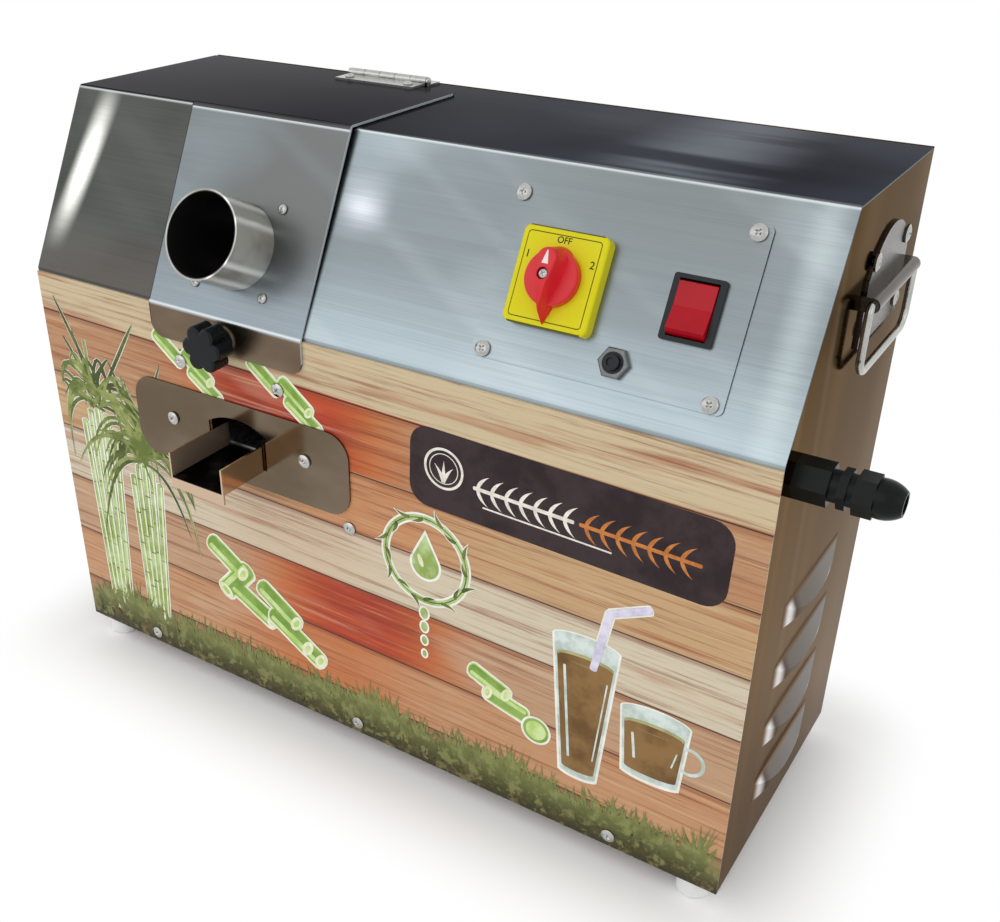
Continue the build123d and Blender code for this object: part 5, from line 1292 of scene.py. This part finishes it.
class JuicerColors(bpy.types.PropertyGroup):
    """Colours of the plastic parts and of the print"""

    yellow: color_setting("Yellow", "Colour of the selector's plate", srgb(210, 202, 10))
    red: color_setting("Red", "Colour of the selector's handle", srgb(196, 18, 30))
    rocker: color_setting("Rocker", "Colour of the rocker button", srgb(174, 6, 28))
    field: color_setting("Dark field", "Colour of the dark printed field", srgb(42, 31, 34))
    juice: color_setting("Juice", "Colour of the printed juice", srgb(140, 108, 66))


class JuicerPrint(bpy.types.PropertyGroup):
    """Settings of the printed front"""

    seed: IntProperty(name="Seed", description="Number that sets the random shapes", default=11)
    tuft_count: IntProperty(name="Tufts", description="Number of printed tufts of grass", default=330, min=3)
    leaf_count: IntProperty(name="Leaves", description="Number of leaves on each crown", default=44, min=2)
    grass_scale: number_setting("Grass height", "Scale of the grass", 1.0)


class JuicerStage(bpy.types.PropertyGroup):
    """Sizes and colours of the stage"""

    floor_reach: number_setting("Floor reach", "Half the floor's side", 8.0, "LENGTH")
    floor_color: color_setting("Floor", "Colour of the floor", (0.98, 0.98, 0.98))
    shadow_reach: number_setting("Shadow reach", "Distance from the cabinet to plain white", 0.075, "LENGTH")
    fill_color: color_setting("Fill", "Colour of the soft light all round", (1.0, 1.0, 1.0))
    fill_strength: number_setting("Fill strength", "Level of the light all round", 0.86)
    key_power: number_setting("Key power", "Power of the front lamp", 9.5, "POWER")
    side_power: number_setting("Side power", "Power of the side lamps", 3.4, "POWER")
    focal_pixels: number_setting("Focal length", "Focal length in pixels", 1191.16)
    image_width: IntProperty(name="Width", description="Width of the picture in pixels", default=1000)
    image_height: IntProperty(name="Height", description="Height of the picture in pixels", default=922)
    centre_pixel_x: number_setting("Centre X", "Pixel across that the lens points at", 440.77)
    centre_pixel_y: number_setting("Centre Y", "Pixel down that the lens points at", 485.88)
    camera_azimuth: number_setting("Azimuth", "Turn of the view from +Y, in degrees", -33.263)
    camera_elevation: number_setting("Elevation", "How far the view looks down, in degrees", 29.357)
    camera_place: FloatVectorProperty(
        name="Camera", description="Place of the camera", default=(0.3640, -0.5501, 0.5082), size=3,
        subtype="TRANSLATION"
    )


class JUICER_PT_panel(bpy.types.Panel):
    """Lists the steps that dress the juicer"""

    bl_label = "Juicer"
    bl_idname = "JUICER_PT_panel"
    bl_space_type = "VIEW_3D"
    bl_region_type = "UI"
    bl_category = "Juicer"

    def draw(self, context):
        for step in steps:
            self.layout.operator(step.bl_idname)
        for key, group in groups.items():
            for name in group.__annotations__:
                self.layout.prop(getattr(context.scene, key), name)


steps = (JUICER_OT_finishes, JUICER_OT_screws, JUICER_OT_marks, JUICER_OT_print, JUICER_OT_stage)
groups = {"juicer_colors": JuicerColors, "juicer_print": JuicerPrint, "juicer_stage": JuicerStage}
classes = (*groups.values(), *steps, JUICER_PT_panel)


def register():
    for each in classes:
        bpy.utils.register_class(each)
    for key, group in groups.items():
        setattr(bpy.types.Scene, key, PointerProperty(type=group))


def unregister():
    for key in groups:
        delattr(bpy.types.Scene, key)
    for each in reversed(classes):
        bpy.utils.unregister_class(each)


def main():
    register()
    for step in steps:
        group, name = step.bl_idname.split(".")
        getattr(getattr(bpy.ops, group), name)()
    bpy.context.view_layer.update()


if __name__ == "__main__":
    main()
